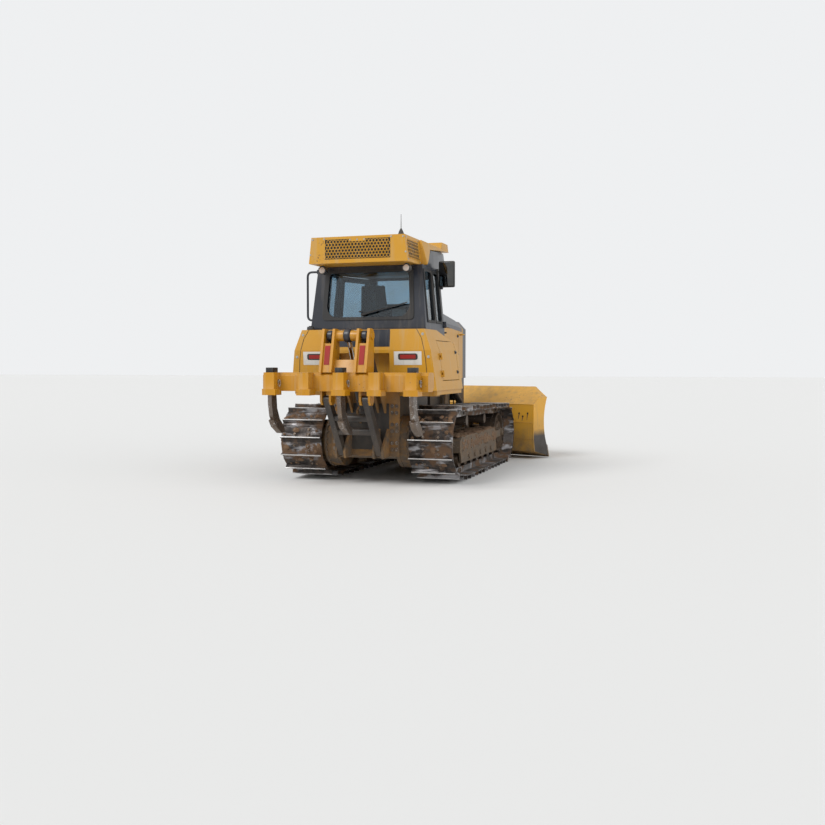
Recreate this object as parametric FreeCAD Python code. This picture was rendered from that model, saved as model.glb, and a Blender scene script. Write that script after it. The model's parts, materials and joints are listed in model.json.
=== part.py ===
# A crawler bulldozer with a cab, an angling blade and a rear ripper, in millimetres.
# Forward is +X, left is +Y and up is +Z. The origin lies on the ground, midway along the
# tracks and midway between them. Values ending in _y are distances from the middle plane.
import FreeCAD, Part
import math
import os

V = FreeCAD.Vector

# Clearances
seat_gap = 0.3
pin_gap = 0.05
side_gap = 8.0
door_gap = 9.0
hinge_off = 21.0

# Tracks
track_gauge = 1880.0
shoe_width = 610.0
shoe_count = 42
shoe_thick = 17.0
shoe_gap = 4.0
grouser_height = 60.0
grouser_tip = 14.0
grouser_root = 30.0
shoe_above_pins = 38.0
rail_below_pins = 45.0
rail_offset = 80.0
rail_width = 50.0
sprocket_x = -1550.0
sprocket_z = 560.0
sprocket_pitch_r = 395.0
sprocket_width = 70.0
tooth_depth = 55.0
idler_x = 1550.0
idler_pitch_r = 385.0
flat_end_x = -1150.0
top_sag = 18.0
track_middle_y = track_gauge / 2
pin_line_z = shoe_above_pins + shoe_thick + grouser_height
idler_z = pin_line_z + idler_pitch_r
shoe_inner_y = track_middle_y - shoe_width / 2

# Rollers and track frames
roller_r = 100.0
roller_first_x = -980.0
roller_pitch = 350.0
roller_count = 7
carrier_r = 75.0
carrier_xs = (-550.0, 550.0)
frame_half_width = 180.0
frame_wall = 25.0
frame_rear_x = -1120.0
frame_front_x = 1150.0
frame_floor_z = 372.0
frame_top_z = 600.0
roller_z = pin_line_z + rail_below_pins + roller_r + seat_gap

# Main frame and drive case
frame_to_track = 235.0
rail_y = shoe_inner_y - frame_to_track
rail_thick = 100.0
chassis_floor_z = 420.0
chassis_top_z = 850.0
chassis_front_x = 1700.0
case_rear_x = -1915.0
case_front_x = -1150.0
case_half_width = rail_y + 20
case_top_z = 1200.0
final_drive_r = 360.0
final_neck_r = 285.0
hub_r = 190.0
pivot_shaft_x = -850.0
pivot_shaft_z = 480.0
pivot_shaft_r = 70.0
equalizer_x = 60.0
equalizer_z = 470.0
engine_x0 = 60.0
engine_x1 = 1180.0
engine_y = rail_y - 80
engine_top_z = 1950.0

# Towing eye at the front
tow_x = 1760.0
tow_z = 600.0
tow_r = 24.0
tow_length = 60.0

# Rear body with the side boxes beside the cab
body_wall = 16.0
body_floor_z = 1280.0
body_fold_z = 1820.0
body_top_z = 2100.0
body_rear_x = -2100.0
body_floor_rear_x = -2050.0
body_top_rear_x = -2070.0
body_front_x = -720.0
body_front_top_z = 1910.0
body_slope_x = -1500.0
body_floor_y = 1050.0
body_fold_y = 980.0
body_top_y = 880.0
bay_rear_x = -1875.0
bay_y = 852.0
recess_y = 400.0
recess_x = -1905.0
recess_top_z = 1780.0
side_door_x0 = -1700.0
side_door_x1 = -850.0
side_door_z0 = 1410.0
side_door_z1 = 1950.0
saddle_x0 = -1860.0
saddle_x1 = -1700.0

# Cab
cab_wall = 42.0
cab_floor_z = 1420.0
cab_waist_z = 2130.0
cab_top_z = 2980.0
cab_rear_x = -1860.0
cab_top_rear_x = -1770.0
cab_y = 838.0
cab_top_y = 758.0
b_pillar_x = -950.0
cab_front_x = -250.0
cab_front_y = 590.0
glass_thick = 6.0
glass_inset = 17.0
sill_z = 2280.0
head_z = 2905.0
cab_door_length = 655.0
cab_door_low_start = 412.0
cab_door_step_z = 2045.0
cab_door_z0 = cab_floor_z + cab_wall + 12
cab_door_z1 = 2925.0

# Roof and air conditioner
roof_top_z = 3330.0
roof_front_x = -250.0
roof_y = 790.0
roof_top_y = 730.0
visor_rise = 85.0
visor_top_z = roof_top_z + visor_rise
ac_rear_x = -2230.0
ac_front_x = -1612.0
ac_y = 700.0
ac_top_y = 660.0
roof_wall = 14.0

# Hood and nose
hood_wall = 14.0
hood_rear_x = -246.0
hood_front_x = 1620.0
hood_floor_z = 1400.0
hood_rear_y = 490.0
hood_front_y = 425.0
shoulder_rear_z = 2310.0
shoulder_front_z = 2230.0
crown_rear_y = 360.0
crown_front_y = 305.0
crown_rear_z = 2530.0
crown_front_z = 2360.0
engine_door_x0 = 110.0
engine_door_x1 = 1300.0
engine_door_z0 = 1420.0
engine_door_z1 = 2215.0
nose_front_x = 1820.0
nose_leg_rear_x = 1400.0
nose_leg_y = rail_y - 5
grille_bars = 9

# Blade and its carrier
carrier_pivot_x = 400.0
carrier_pivot_z = 500.0
arm_to_track = 85.0
arm_y = shoe_inner_y - arm_to_track
arm_thick = 90.0
arm_floor_z = 400.0
arm_top_z = 580.0
cross_rear_x = 2060.0
cross_front_x = 2230.0
swing_x = 2430.0
swing_z = 500.0
swing_pin_r = 45.0
blade_yaw = -20.0
blade_back = 150.0
blade_half_width = 1630.0
blade_top_z = 1240.0
blade_cut_width = 300.0
blade_cut_y = blade_half_width - blade_cut_width
blade_cut_z = 1060.0
blade_floor_z = 45.0
blade_skin = 22.0
edge_floor_z = 12.0
edge_top_z = 230.0
edge_thick = 28.0
tilt_pin_r = 70.0

# Cylinders
lift_y = rail_y + 60
lift_base_x = 700.0
lift_base_z = 1320.0
lift_eye_x = 1950.0
lift_eye_z = 660.0
angle_y = arm_y + 20
angle_base_x = 1570.0
angle_z = 700.0
angle_eye_back = 22.0
angle_eye_side = angle_y + 30
tilt_base_side = -150.0
tilt_eye_side = 450.0
tilt_z = 858.0
tilt_back = 65.0

# Ripper
lower_front = (-2120.0, 450.0)
lower_rear = (-2620.0, 1170.0)
upper_front = (-2060.0, 1280.0)
link_y = 270.0
link_thick = 80.0
upper_link_y = 240.0
upper_link_thick = 56.0
beam_rear_x = -2740.0
beam_front_x = -2480.0
beam_floor_z = 1280.0
beam_top_z = 1524.0
beam_half = 1140.0
pocket_pitch = 484.0
shank_width = 55.0
shank_depth = 150.0
shank_tip_z = 720.0
shank_top_z = 1556.0
ripper_base = (-2022.0, 980.0)


def box(x0, x1, y0, y1, z0, z1):
    return Part.makeBox(x1 - x0, y1 - y0, z1 - z0, V(x0, y0, z0))


def wire(points):
    return Part.makePolygon(list(points) + [points[0]])


def side_prism(points, y0, y1):
    """Prism of an outline given as (x, z), from y0 to y1."""
    face = Part.Face(wire([V(x, y0, z) for x, z in points]))
    return face.extrude(V(0, y1 - y0, 0))


def plan_prism(points, z0, z1):
    """Prism of an outline given as (x, y), from z0 to z1."""
    face = Part.Face(wire([V(x, y, z0) for x, y in points]))
    return face.extrude(V(0, 0, z1 - z0))


def cross_prism(points, x0, x1):
    """Prism of an outline given as (y, z), from x0 to x1."""
    face = Part.Face(wire([V(x0, y, z) for y, z in points]))
    return face.extrude(V(x1 - x0, 0, 0))


def rod(start, end, radius):
    start = V(*start)
    way = V(*end) - start
    return Part.makeCylinder(radius, way.Length, start, way)


def pin_across(x, z, radius, y0, y1):
    return rod((x, y0, z), (x, y1, z), radius)


def mirrored(shape):
    return shape.mirror(V(0, 0, 0), V(0, 1, 0))


def fused(shapes):
    result = shapes[0]
    if len(shapes) > 1:
        result = result.fuse(shapes[1:])
    return result.removeSplitter()


def both_sides(shape):
    return Part.makeCompound([shape, mirrored(shape)])


def bar_between(a, b, width, y0, y1):
    """Flat bar with round ends about two centres given as (x, z)."""
    dx = b[0] - a[0]
    dz = b[1] - a[1]
    length = math.hypot(dx, dz)
    nx = -dz / length * width / 2
    nz = dx / length * width / 2
    web = side_prism([(a[0] + nx, a[1] + nz), (b[0] + nx, b[1] + nz),
                      (b[0] - nx, b[1] - nz), (a[0] - nx, a[1] - nz)], y0, y1)
    ends = [pin_across(p[0], p[1], width / 2, y0, y1) for p in (a, b)]
    return fused([web] + ends)


def symmetric(half):
    """Full (y, z) outline from its left half, listed from the bottom up."""
    return list(half) + [(-y, z) for y, z in reversed(half)]


def tangent_point(px, pz, cx, cz, radius):
    """Where the line from a point in front and below touches the sprocket's pin circle."""
    distance = math.hypot(cx - px, cz - pz)
    angle = math.atan2(cz - pz, cx - px) + math.asin(radius / distance)
    length = math.sqrt(distance ** 2 - radius ** 2)
    return px + length * math.cos(angle), pz + length * math.sin(angle)


def arc_points(cx, cz, radius, start, end, steps=60):
    return [(cx + radius * math.cos(start + (end - start) * i / steps),
             cz + radius * math.sin(start + (end - start) * i / steps)) for i in range(steps + 1)]


def sagging(a, b, steps=30):
    """Points of a chain that hangs slightly between two supports."""
    points = []
    for i in range(steps + 1):
        t = i / steps
        points.append((a[0] + (b[0] - a[0]) * t, a[1] + (b[1] - a[1]) * t - 4 * top_sag * t * (1 - t)))
    return points


centre_angle = math.atan2(idler_z - sprocket_z, idler_x - sprocket_x)
centre_span = math.hypot(idler_z - sprocket_z, idler_x - sprocket_x)
top_angle = centre_angle + math.acos((sprocket_pitch_r - idler_pitch_r) / centre_span)
top_rear = (sprocket_x + sprocket_pitch_r * math.cos(top_angle),
            sprocket_z + sprocket_pitch_r * math.sin(top_angle))
top_front = (idler_x + idler_pitch_r * math.cos(top_angle),
             idler_z + idler_pitch_r * math.sin(top_angle))


def top_line_z(x):
    return top_rear[1] + (top_front[1] - top_rear[1]) * (x - top_rear[0]) / (top_front[0] - top_rear[0])


def chain_pins():
    """Pin centres at equal steps round the loop: back along the ground, over the sprocket, forward."""
    touch = tangent_point(flat_end_x, pin_line_z, sprocket_x, sprocket_z, sprocket_pitch_r)
    touch_angle = math.atan2(touch[1] - sprocket_z, touch[0] - sprocket_x) + 2 * math.pi
    supports = [top_rear] + [(x, top_line_z(x)) for x in carrier_xs] + [top_front]
    path = [(idler_x, pin_line_z), (flat_end_x, pin_line_z)]
    path += arc_points(sprocket_x, sprocket_z, sprocket_pitch_r, touch_angle, top_angle)
    for a, b in zip(supports, supports[1:]):
        path += sagging(a, b)[1:]
    path += arc_points(idler_x, idler_z, idler_pitch_r, top_angle, -math.pi / 2)[1:]
    lengths = [math.dist(a, b) for a, b in zip(path, path[1:])]
    step = sum(lengths) / shoe_count
    pins = []
    walked = 0.0
    for (a, b), length in zip(zip(path, path[1:]), lengths):
        while len(pins) < shoe_count and len(pins) * step <= walked + length:
            t = (len(pins) * step - walked) / length
            pins.append((a[0] + (b[0] - a[0]) * t, a[1] + (b[1] - a[1]) * t))
        walked += length
    return pins


def offset_pins(pins, distance):
    """The pins moved outwards along the mean of their two links' normals."""
    moved = []
    for i, pin in enumerate(pins):
        before = pins[i - 1]
        after = pins[(i + 1) % len(pins)]
        dx = after[0] - before[0]
        dz = after[1] - before[1]
        length = math.hypot(dx, dz)
        moved.append((pin[0] - dz / length * distance, pin[1] + dx / length * distance))
    return moved


def shoe_outline(pins):
    """Outside of the loop: for each link a flat shoe with one grouser near its leading end."""
    notches = offset_pins(pins, shoe_above_pins + 2)
    outline = []
    for i, a in enumerate(pins):
        b = pins[(i + 1) % len(pins)]
        length = math.dist(a, b)
        dx = (b[0] - a[0]) / length
        dz = (b[1] - a[1]) / length
        face = shoe_above_pins + shoe_thick
        tip = face + grouser_height
        middle = 0.24 * length
        # each row: distance along the link, height above the pins
        for along, height in ((shoe_gap, face), (middle - grouser_root / 2, face),
                              (middle - grouser_tip / 2, tip), (middle + grouser_tip / 2, tip),
                              (middle + grouser_root / 2, face), (length - shoe_gap, face)):
            outline.append((a[0] + dx * along - dz * height, a[1] + dz * along + dx * height))
        outline.append(notches[(i + 1) % len(pins)])
    return outline


def track():
    """One closed loop: a band of shoes over two rails of links."""
    pins = chain_pins()
    seat = offset_pins(pins, shoe_above_pins)
    inner = offset_pins(pins, -rail_below_pins)
    y0 = track_middle_y - shoe_width / 2
    band = side_prism(shoe_outline(pins), y0, y0 + shoe_width).cut(side_prism(seat, y0 - 1, y0 + shoe_width + 1))
    rails = []
    for start in (track_middle_y - rail_offset - rail_width, track_middle_y + rail_offset):
        rail = side_prism(seat, start, start + rail_width)
        rails.append(rail.cut(side_prism(inner, start - 1, start + rail_width + 1)))
    return fused([band] + rails)


link_step = math.dist(*chain_pins()[:2])


def carrier_axle_z(x):
    """Height of a carrier roller's axle, just under the rails' lower edge there."""
    lower = offset_pins(chain_pins(), -rail_below_pins)
    heights = []
    for a, b in zip(lower, lower[1:]):
        if a[0] - 30 <= x <= b[0] + 30:
            share = min(1.0, max(0.0, (x - a[0]) / (b[0] - a[0])))
            heights.append(a[1] + (b[1] - a[1]) * share)
    return min(heights) - carrier_r - seat_gap - 1.5


def tread_radius(pitch_r):
    """Radius that the straight rails just clear where they wrap round a wheel."""
    return math.sqrt(pitch_r ** 2 - (link_step / 2) ** 2) - rail_below_pins - seat_gap - 6


def sprocket():
    """Toothed rim between the rails, on a hub that carries it from the final drive."""
    teeth = round(2 * math.pi * sprocket_pitch_r / link_step) * 2 + 1
    tip_r = sprocket_pitch_r + 5
    root_r = sprocket_pitch_r - tooth_depth
    outline = []
    for i in range(teeth):
        for share, radius in ((0.0, root_r), (0.32, root_r), (0.52, tip_r), (0.80, tip_r)):
            angle = 2 * math.pi * (i + share) / teeth
            outline.append((sprocket_x + radius * math.cos(angle), sprocket_z + radius * math.sin(angle)))
    y0 = track_middle_y - sprocket_width / 2
    rim = side_prism(outline, y0, y0 + sprocket_width)
    hub = pin_across(sprocket_x, sprocket_z, hub_r, y0 - 105, y0 + sprocket_width + 60)
    cap = pin_across(sprocket_x, sprocket_z, hub_r * 0.72, y0 + sprocket_width + 60, y0 + sprocket_width + 95)
    return fused([rim, hub, cap])


def idler():
    """Front wheel: two treads under the rails, a guiding centre flange and a hub."""
    tread = tread_radius(idler_pitch_r)
    outer = rail_offset + rail_width
    inner = rail_offset - 10
    profile = [(0, -outer), (tread * 0.55, -outer), (tread * 0.60, -outer * 0.62), (tread * 0.86, -outer * 0.62),
               (tread * 0.90, -outer), (tread, -outer), (tread, -inner), (tread + 22, -inner),
               (tread + 22, inner), (tread, inner), (tread, outer), (tread * 0.90, outer),
               (tread * 0.86, outer * 0.62), (tread * 0.60, outer * 0.62), (tread * 0.55, outer), (0, outer)]
    points = [V(idler_x + r, track_middle_y + y, idler_z) for r, y in profile]
    return Part.Face(wire(points)).revolve(V(idler_x, 0, idler_z), V(0, 1, 0), 360)


def track_frame():
    """Box beam with cheeks that hold the rollers, and a fork for the idler."""
    y0 = track_middle_y - frame_half_width
    y1 = track_middle_y + frame_half_width
    beam = side_prism([(frame_rear_x, frame_floor_z), (frame_front_x, frame_floor_z),
                       (frame_front_x, frame_top_z - 60), (frame_front_x - 120, frame_top_z),
                       (frame_rear_x + 120, frame_top_z), (frame_rear_x, frame_top_z - 60)], y0, y1)
    parts = [beam]
    cheek_floor = roller_z - 35
    last_x = roller_first_x + roller_pitch * (roller_count - 1)
    for side_y in (y0, y1 - frame_wall):
        parts.append(side_prism([(frame_rear_x + 20, frame_floor_z), (roller_first_x - 60, cheek_floor),
                                 (last_x + 60, cheek_floor), (frame_front_x, frame_floor_z)],
                                side_y, side_y + frame_wall))
        parts.append(side_prism([(frame_front_x - 40, idler_z - 70), (idler_x + 90, idler_z - 55),
                                 (idler_x + 90, idler_z + 55), (frame_front_x - 40, idler_z + 40)],
                                side_y, side_y + frame_wall))
    outer = rail_offset + rail_width
    for start, end in ((y0 + frame_wall, track_middle_y - outer - seat_gap),
                       (track_middle_y + outer + seat_gap, y1 - frame_wall)):
        parts.append(pin_across(idler_x, idler_z, 60, start, end))
    for x in carrier_xs:
        axle_z = carrier_axle_z(x)
        post_y = y0 + 40
        parts.append(box(x - 45, x + 45, y0, post_y, frame_top_z - 70, axle_z + 45))
        parts.append(pin_across(x, axle_z, 35, post_y, track_middle_y - outer - seat_gap))
    return fused(parts)


def track_rollers():
    """Lower rollers with the axle ends that reach the frame's cheeks."""
    outer = rail_offset + rail_width
    shapes = []
    reach = frame_half_width - frame_wall
    for i in range(roller_count):
        x = roller_first_x + roller_pitch * i
        wheel = pin_across(x, roller_z, roller_r, track_middle_y - outer, track_middle_y + outer)
        axle = pin_across(x, roller_z, 34, track_middle_y - reach, track_middle_y + reach)
        shapes.append(fused([wheel, axle]))
    return Part.makeCompound(shapes)


def carrier_rollers():
    outer = rail_offset + rail_width
    return Part.makeCompound([pin_across(x, carrier_axle_z(x), carrier_r, track_middle_y - outer,
                                         track_middle_y + outer) for x in carrier_xs])


def main_frame():
    """Two rails under the engine, joined by a belly plate and cross members, with trunnion posts."""
    parts = [box(case_front_x, chassis_front_x, -rail_y, rail_y, chassis_floor_z - 20, chassis_floor_z)]
    for x in (case_front_x, 0.0, chassis_front_x - 60):
        parts.append(box(x, x + 60, -rail_y, rail_y, chassis_floor_z, chassis_floor_z + 200))
    for s in (1, -1):
        inner, outer = sorted((s * (rail_y - rail_thick), s * rail_y))
        parts.append(box(case_front_x, chassis_front_x, inner, outer, chassis_floor_z, chassis_top_z))
        # trunnion for the blade carrier
        parts.append(pin_across(carrier_pivot_x, carrier_pivot_z, 50, s * rail_y, s * (arm_y + arm_thick / 2 + 14)))
        # post and trunnion for the lift cylinder
        post = sorted((s * (rail_y - 18), s * (rail_y + 10)))
        parts.append(side_prism([(lift_base_x - 130, chassis_top_z - 60), (lift_base_x + 130, chassis_top_z - 60),
                                 (lift_base_x + 50, lift_base_z + 45), (lift_base_x - 50, lift_base_z + 45)], *post))
        parts.append(pin_across(lift_base_x, lift_base_z, 30, s * (rail_y + 10), s * (lift_y + 36)))
        # shaft that carries the track frame, and the equalizer bar's end
        track_side = s * (track_middle_y - frame_half_width)
        parts.append(pin_across(pivot_shaft_x, pivot_shaft_z, pivot_shaft_r, s * rail_y, track_side))
        ends = sorted((s * rail_y, track_side))
        parts.append(box(equalizer_x - 60, equalizer_x + 60, ends[0], ends[1], equalizer_z - 45, equalizer_z + 45))
    eye = box(chassis_front_x, chassis_front_x + 110, -60, 60, tow_z - tow_length / 2, tow_z + tow_length / 2)
    parts.append(eye)
    bore = rod((tow_x, 0, tow_z - tow_length), (tow_x, 0, tow_z + tow_length), tow_r)
    return fused(parts).cut(bore)


def drive_case():
    """Rear axle housing with the raised cover over the bevel gears."""
    lower = side_prism([(case_rear_x, 400), (case_rear_x, case_top_z), (case_front_x - 180, case_top_z),
                        (case_front_x, 900), (case_front_x, 400), (case_front_x - 80, 340),
                        (case_rear_x + 90, 340)], -case_half_width, case_half_width)
    return lower


def final_drive():
    """Round reduction case between the axle housing and the sprocket."""
    step_y = shoe_inner_y - 6
    big = pin_across(sprocket_x, sprocket_z, final_drive_r, case_half_width, step_y)
    neck = pin_across(sprocket_x, sprocket_z, final_neck_r, step_y, step_y + 120)
    end = track_middle_y - sprocket_width / 2 - 105
    boss = pin_across(sprocket_x, sprocket_z, hub_r, step_y + 120, end)
    return fused([big, neck, boss])


def rear_hull(inset):
    """Rear body and the boxes beside the cab, as a solid set in by a wall's thickness."""
    i = inset
    across = cross_prism(symmetric([(body_floor_y - i, body_floor_z + i), (body_fold_y - i, body_fold_z),
                                    (body_top_y - i, body_top_z - i)]), -2300, -600)
    along = side_prism([(body_floor_rear_x + i, body_floor_z + i), (body_rear_x + i, body_fold_z),
                        (body_top_rear_x + i, body_top_z - i), (body_slope_x, body_top_z - i),
                        (body_front_x - i, body_front_top_z - i), (body_front_x - i, body_floor_z + i)],
                       -1200, 1200)
    bay = box(bay_rear_x - i, -500, -bay_y - i, bay_y + i, 1200, 2300)
    recess = box(-2300, recess_x + i, -recess_y - i, recess_y + i, 1200, recess_top_z + i)
    return across.common(along).cut(bay).cut(recess)


def hinge(start, way, length, panel_way):
    """Knuckle hinge about an axis. Returns the fixed part and the part that swings.
    Its axis stands off the panels; panel_way points along the panel that swings."""
    axis = V(*way)
    axis.normalize()
    out = axis.cross(V(*panel_way))
    out.normalize()
    swing = out.cross(axis)
    turn = FreeCAD.Matrix(swing.x, out.x, axis.x, start[0], swing.y, out.y, axis.y, start[1],
                          swing.z, out.z, axis.z, start[2], 0, 0, 0, 1)
    third = length / 3
    fixed = [Part.makeCylinder(8, length)]
    for z in (0.0, 2 * third):
        fixed.append(Part.makeCylinder(15, third, V(0, 0, z)))
        fixed.append(Part.makeBox(50, 20, third, V(-50, -25, z)))
    leaf = [Part.makeCylinder(15, third - 2 * seat_gap, V(0, 0, third + seat_gap)),
            Part.makeBox(34, 20, third - 2 * seat_gap, V(22, -25, third + seat_gap)),
            Part.makeBox(30, 12, third - 2 * seat_gap, V(0, -14, third + seat_gap))]
    bore = Part.makeCylinder(8 + pin_gap, length)
    fixed = fused(fixed)
    leaf = fused(leaf).cut(bore)
    fixed.Placement = FreeCAD.Placement(turn)
    leaf.Placement = FreeCAD.Placement(turn)
    return fixed, leaf


side_lean = math.atan2(body_floor_y - body_fold_y, body_fold_z - body_floor_z)
side_axis = (0.0, -math.sin(side_lean), math.cos(side_lean))


def side_surface_y(z):
    return body_floor_y - (z - body_floor_z) * math.tan(side_lean)


def side_hinge_point(z):
    y = side_surface_y(z) + hinge_off * math.cos(side_lean)
    return (side_door_x0, y, z + hinge_off * math.sin(side_lean))


side_hinge_zs = (1455.0, 1690.0)


def side_hinges():
    return [hinge(side_hinge_point(z), side_axis, 90, (1, 0, 0)) for z in side_hinge_zs]


def side_door():
    """Service door cut from the left side box, with its two hinge knuckles."""
    g = door_gap / 2
    skin = rear_hull(0).cut(rear_hull(body_wall))
    panel = skin.common(box(side_door_x0 + g, side_door_x1 - g, bay_y + 30, 1200,
                            side_door_z0 + g, side_door_z1 - g))
    return fused([panel] + [leaf for fixed, leaf in side_hinges()])


def rear_body():
    """Hollow sheet housing with a door opening and hinge lugs on each side."""
    shell = rear_hull(0).cut(rear_hull(body_wall))
    g = door_gap / 2
    for s in (1, -1):
        y0, y1 = sorted((s * (bay_y + 30), s * 1200))
        shell = shell.cut(box(side_door_x0 - g, side_door_x1 + g, y0, y1, side_door_z0 - g, side_door_z1 + g))
    lugs = [fixed for fixed, leaf in side_hinges()]
    sill = box(body_rear_x + 120, body_front_x, body_floor_y - 60, body_floor_y - 20,
               body_floor_z - 60, body_floor_z)
    saddle = box(saddle_x0, saddle_x1, 250, body_floor_y - 60, case_top_z, body_floor_z)
    own = lugs + [sill, saddle]
    return fused([shell] + own + [mirrored(piece) for piece in own])


def cab_outline(inset, level):
    """Plan of the cab at a level as (x, y), set in by a wall; the upper part leans inwards."""
    rise = max(0.0, level - cab_waist_z) / (cab_top_z - cab_waist_z)
    rear_x = cab_rear_x + (cab_top_rear_x - cab_rear_x) * rise + inset
    wide = cab_y + (cab_top_y - cab_y) * rise
    slope = (cab_y - cab_front_y) / (cab_front_x - b_pillar_x)
    turn = math.atan(slope)
    # the inset corner where the door's slanting wall meets the straight side
    corner_x = b_pillar_x - inset * math.tan(turn / 2)
    front_y = wide - slope * (cab_front_x - inset - b_pillar_x) - inset / math.cos(turn)
    left = [(rear_x, wide - inset), (corner_x, wide - inset), (cab_front_x - inset, front_y)]
    return left + [(x, -y) for x, y in reversed(left)]


def cab_hull(inset):
    """Solid of the cab set in by a thickness: an upright lower part and a leaning upper part."""
    floor = cab_floor_z + inset
    top = cab_top_z - inset
    lower = plan_prism(cab_outline(inset, 0), floor, cab_waist_z)
    sections = [wire([V(x, y, z) for x, y in cab_outline(inset, z)]) for z in (cab_waist_z, top)]
    return lower.fuse(Part.makeLoft(sections, True, True))


def cab_windows():
    """Openings of the fixed windows: rear, two panes each side, and the windshield."""
    cuts = [box(-2000, -1600, -627, 627, sill_z, head_z)]
    for s in (1, -1):
        for x0, x1 in ((-1735.0, -1400.0), (-1345.0, -1065.0)):
            y0, y1 = sorted((s * 650, s * 900))
            cuts.append(box(x0, x1, y0, y1, sill_z - 60, head_z))
    cuts.append(box(cab_front_x - 80, cab_front_x + 80, -430, 430, crown_rear_z + 20, head_z))
    return cuts


cab_door_turn = math.atan((cab_y - cab_front_y) / (cab_front_x - b_pillar_x))


def beside_pillar(x0, x1, z0, z1, depth):
    """Block across the left door's slanting wall, measured along that wall from the pillar."""
    block = box(x0, x1, -depth, 90, z0, z1)
    block.rotate(V(0, 0, 0), V(0, 0, 1), -math.degrees(cab_door_turn))
    block.translate(V(b_pillar_x, cab_y, 0))
    return block


def cab_door_zone(gap):
    """Space of the left door, stepped to clear the side box; gap shrinks it on every side."""
    lean = cab_wall + cab_y - cab_top_y
    upper = beside_pillar(8 + gap, cab_door_length - gap, cab_door_step_z + gap, cab_door_z1 - gap, 2 * lean)
    lower = beside_pillar(cab_door_low_start + gap, cab_door_length - gap, cab_door_z0 + gap,
                          cab_door_step_z + 60, cab_wall + 3)
    ahead = box(b_pillar_x + 6 + gap, cab_front_x, 0, cab_y + 100, cab_floor_z, cab_top_z)
    return upper.fuse(lower).common(ahead)


def cab_door_window():
    lean = cab_wall + cab_y - cab_top_y
    upper = beside_pillar(90, cab_door_length - 70, cab_door_step_z + 90, cab_door_z1 - 75, 2 * lean)
    lower = beside_pillar(cab_door_low_start + 60, cab_door_length - 60, cab_door_z0 + 120,
                          cab_door_step_z + 30, cab_wall + 30)
    return [upper, lower]


cab_hinge_zs = (2150.0, 2700.0)
cab_hinge_slope = (cab_y - cab_top_y) / (cab_top_z - cab_waist_z)
cab_hinge_axis = (-cab_hinge_slope * math.tan(cab_door_turn), -cab_hinge_slope, 1.0)


def cab_hinge_point(z):
    """Point of the left door's hinge line at a height, off the pillar and along the door's edge."""
    inwards = (z - cab_waist_z) * cab_hinge_slope
    return (b_pillar_x + 5 - inwards * math.tan(cab_door_turn), cab_y - inwards + hinge_off, z)


def cab_hinges():
    return [hinge(cab_hinge_point(z), cab_hinge_axis, 90, (1, 0, 0)) for z in cab_hinge_zs]


def cab_skin():
    return cab_hull(0).cut(cab_hull(cab_wall))


def cab_glass_layer():
    return cab_hull(glass_inset).cut(cab_hull(glass_inset + glass_thick))


def cab_shell():
    """Cab with its pillars, floor and roof plate, cut for the windows and both doors."""
    shell = cab_skin()
    for cut in cab_windows():
        shell = shell.cut(cut)
    zone = cab_door_zone(-door_gap)
    shell = shell.cut(zone).cut(mirrored(zone))
    lugs = [fixed for fixed, leaf in cab_hinges()]
    front_foot = box(case_front_x + 10, cab_front_x - 100, rail_y - rail_thick, rail_y, chassis_top_z, cab_floor_z)
    rear_foot = box(saddle_x1 + 10, case_front_x - 200, rail_y - rail_thick, rail_y, case_top_z, cab_floor_z)
    own = lugs + [front_foot, rear_foot]
    return fused([shell] + own + [mirrored(piece) for piece in own])


def cab_glass():
    layer = cab_glass_layer()
    return Part.makeCompound([layer.common(cut) for cut in cab_windows()])


def cab_door():
    panel = cab_skin().common(cab_door_zone(0))
    for cut in cab_door_window():
        panel = panel.cut(cut)
    return fused([panel] + [leaf for fixed, leaf in cab_hinges()])


def cab_door_glass():
    layer = cab_glass_layer()
    return Part.makeCompound([layer.common(cut) for cut in cab_door_window()])


def roof_hull(inset):
    """Roof cap: chamfered sides, a lower edge that rises to the front, and a visor hump."""
    i = inset
    across = cross_prism([(roof_y - i, cab_top_z), (roof_y - i, roof_top_z - 90), (roof_top_y - i, roof_top_z - i),
                          (-roof_top_y + i, roof_top_z - i), (-roof_y + i, roof_top_z - 90),
                          (-roof_y + i, cab_top_z)], ac_front_x + i, roof_front_x - i)
    return across


def roof_cap():
    shell = roof_hull(0).cut(roof_hull(roof_wall))
    shell = shell.fuse(box(ac_front_x, roof_front_x, -cab_top_y + 20, cab_top_y - 20, cab_top_z, cab_top_z + 12))
    visor = side_prism([(-620, roof_top_z), (-560, visor_top_z), (-330, visor_top_z), (-290, roof_top_z)],
                       -690, 690)
    rise = side_prism([(ac_front_x - 5, cab_top_z - 5), (roof_front_x + 5, cab_top_z - 5),
                       (roof_front_x + 5, cab_top_z + 90)], cab_top_y, roof_y + 5)
    return shell.fuse(visor).cut(rise).cut(mirrored(rise)).removeSplitter()


def air_conditioner():
    """Hollow box behind the roof, with a recessed screen opening in its rear face."""
    def hull(i):
        return cross_prism([(ac_y - i, cab_top_z + i), (ac_top_y - i, roof_top_z - i),
                            (-ac_top_y + i, roof_top_z - i), (-ac_y + i, cab_top_z + i)],
                           ac_rear_x + i, ac_front_x - i)
    shell = hull(0).cut(hull(16))
    screen = box(ac_rear_x - 10, ac_rear_x + 30, -430, 430, cab_top_z + 60, roof_top_z - 45)
    mesh = box(ac_rear_x + 8, ac_rear_x + 14, -430, 430, cab_top_z + 60, roof_top_z - 45)
    return shell.cut(screen).fuse(mesh)


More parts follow.
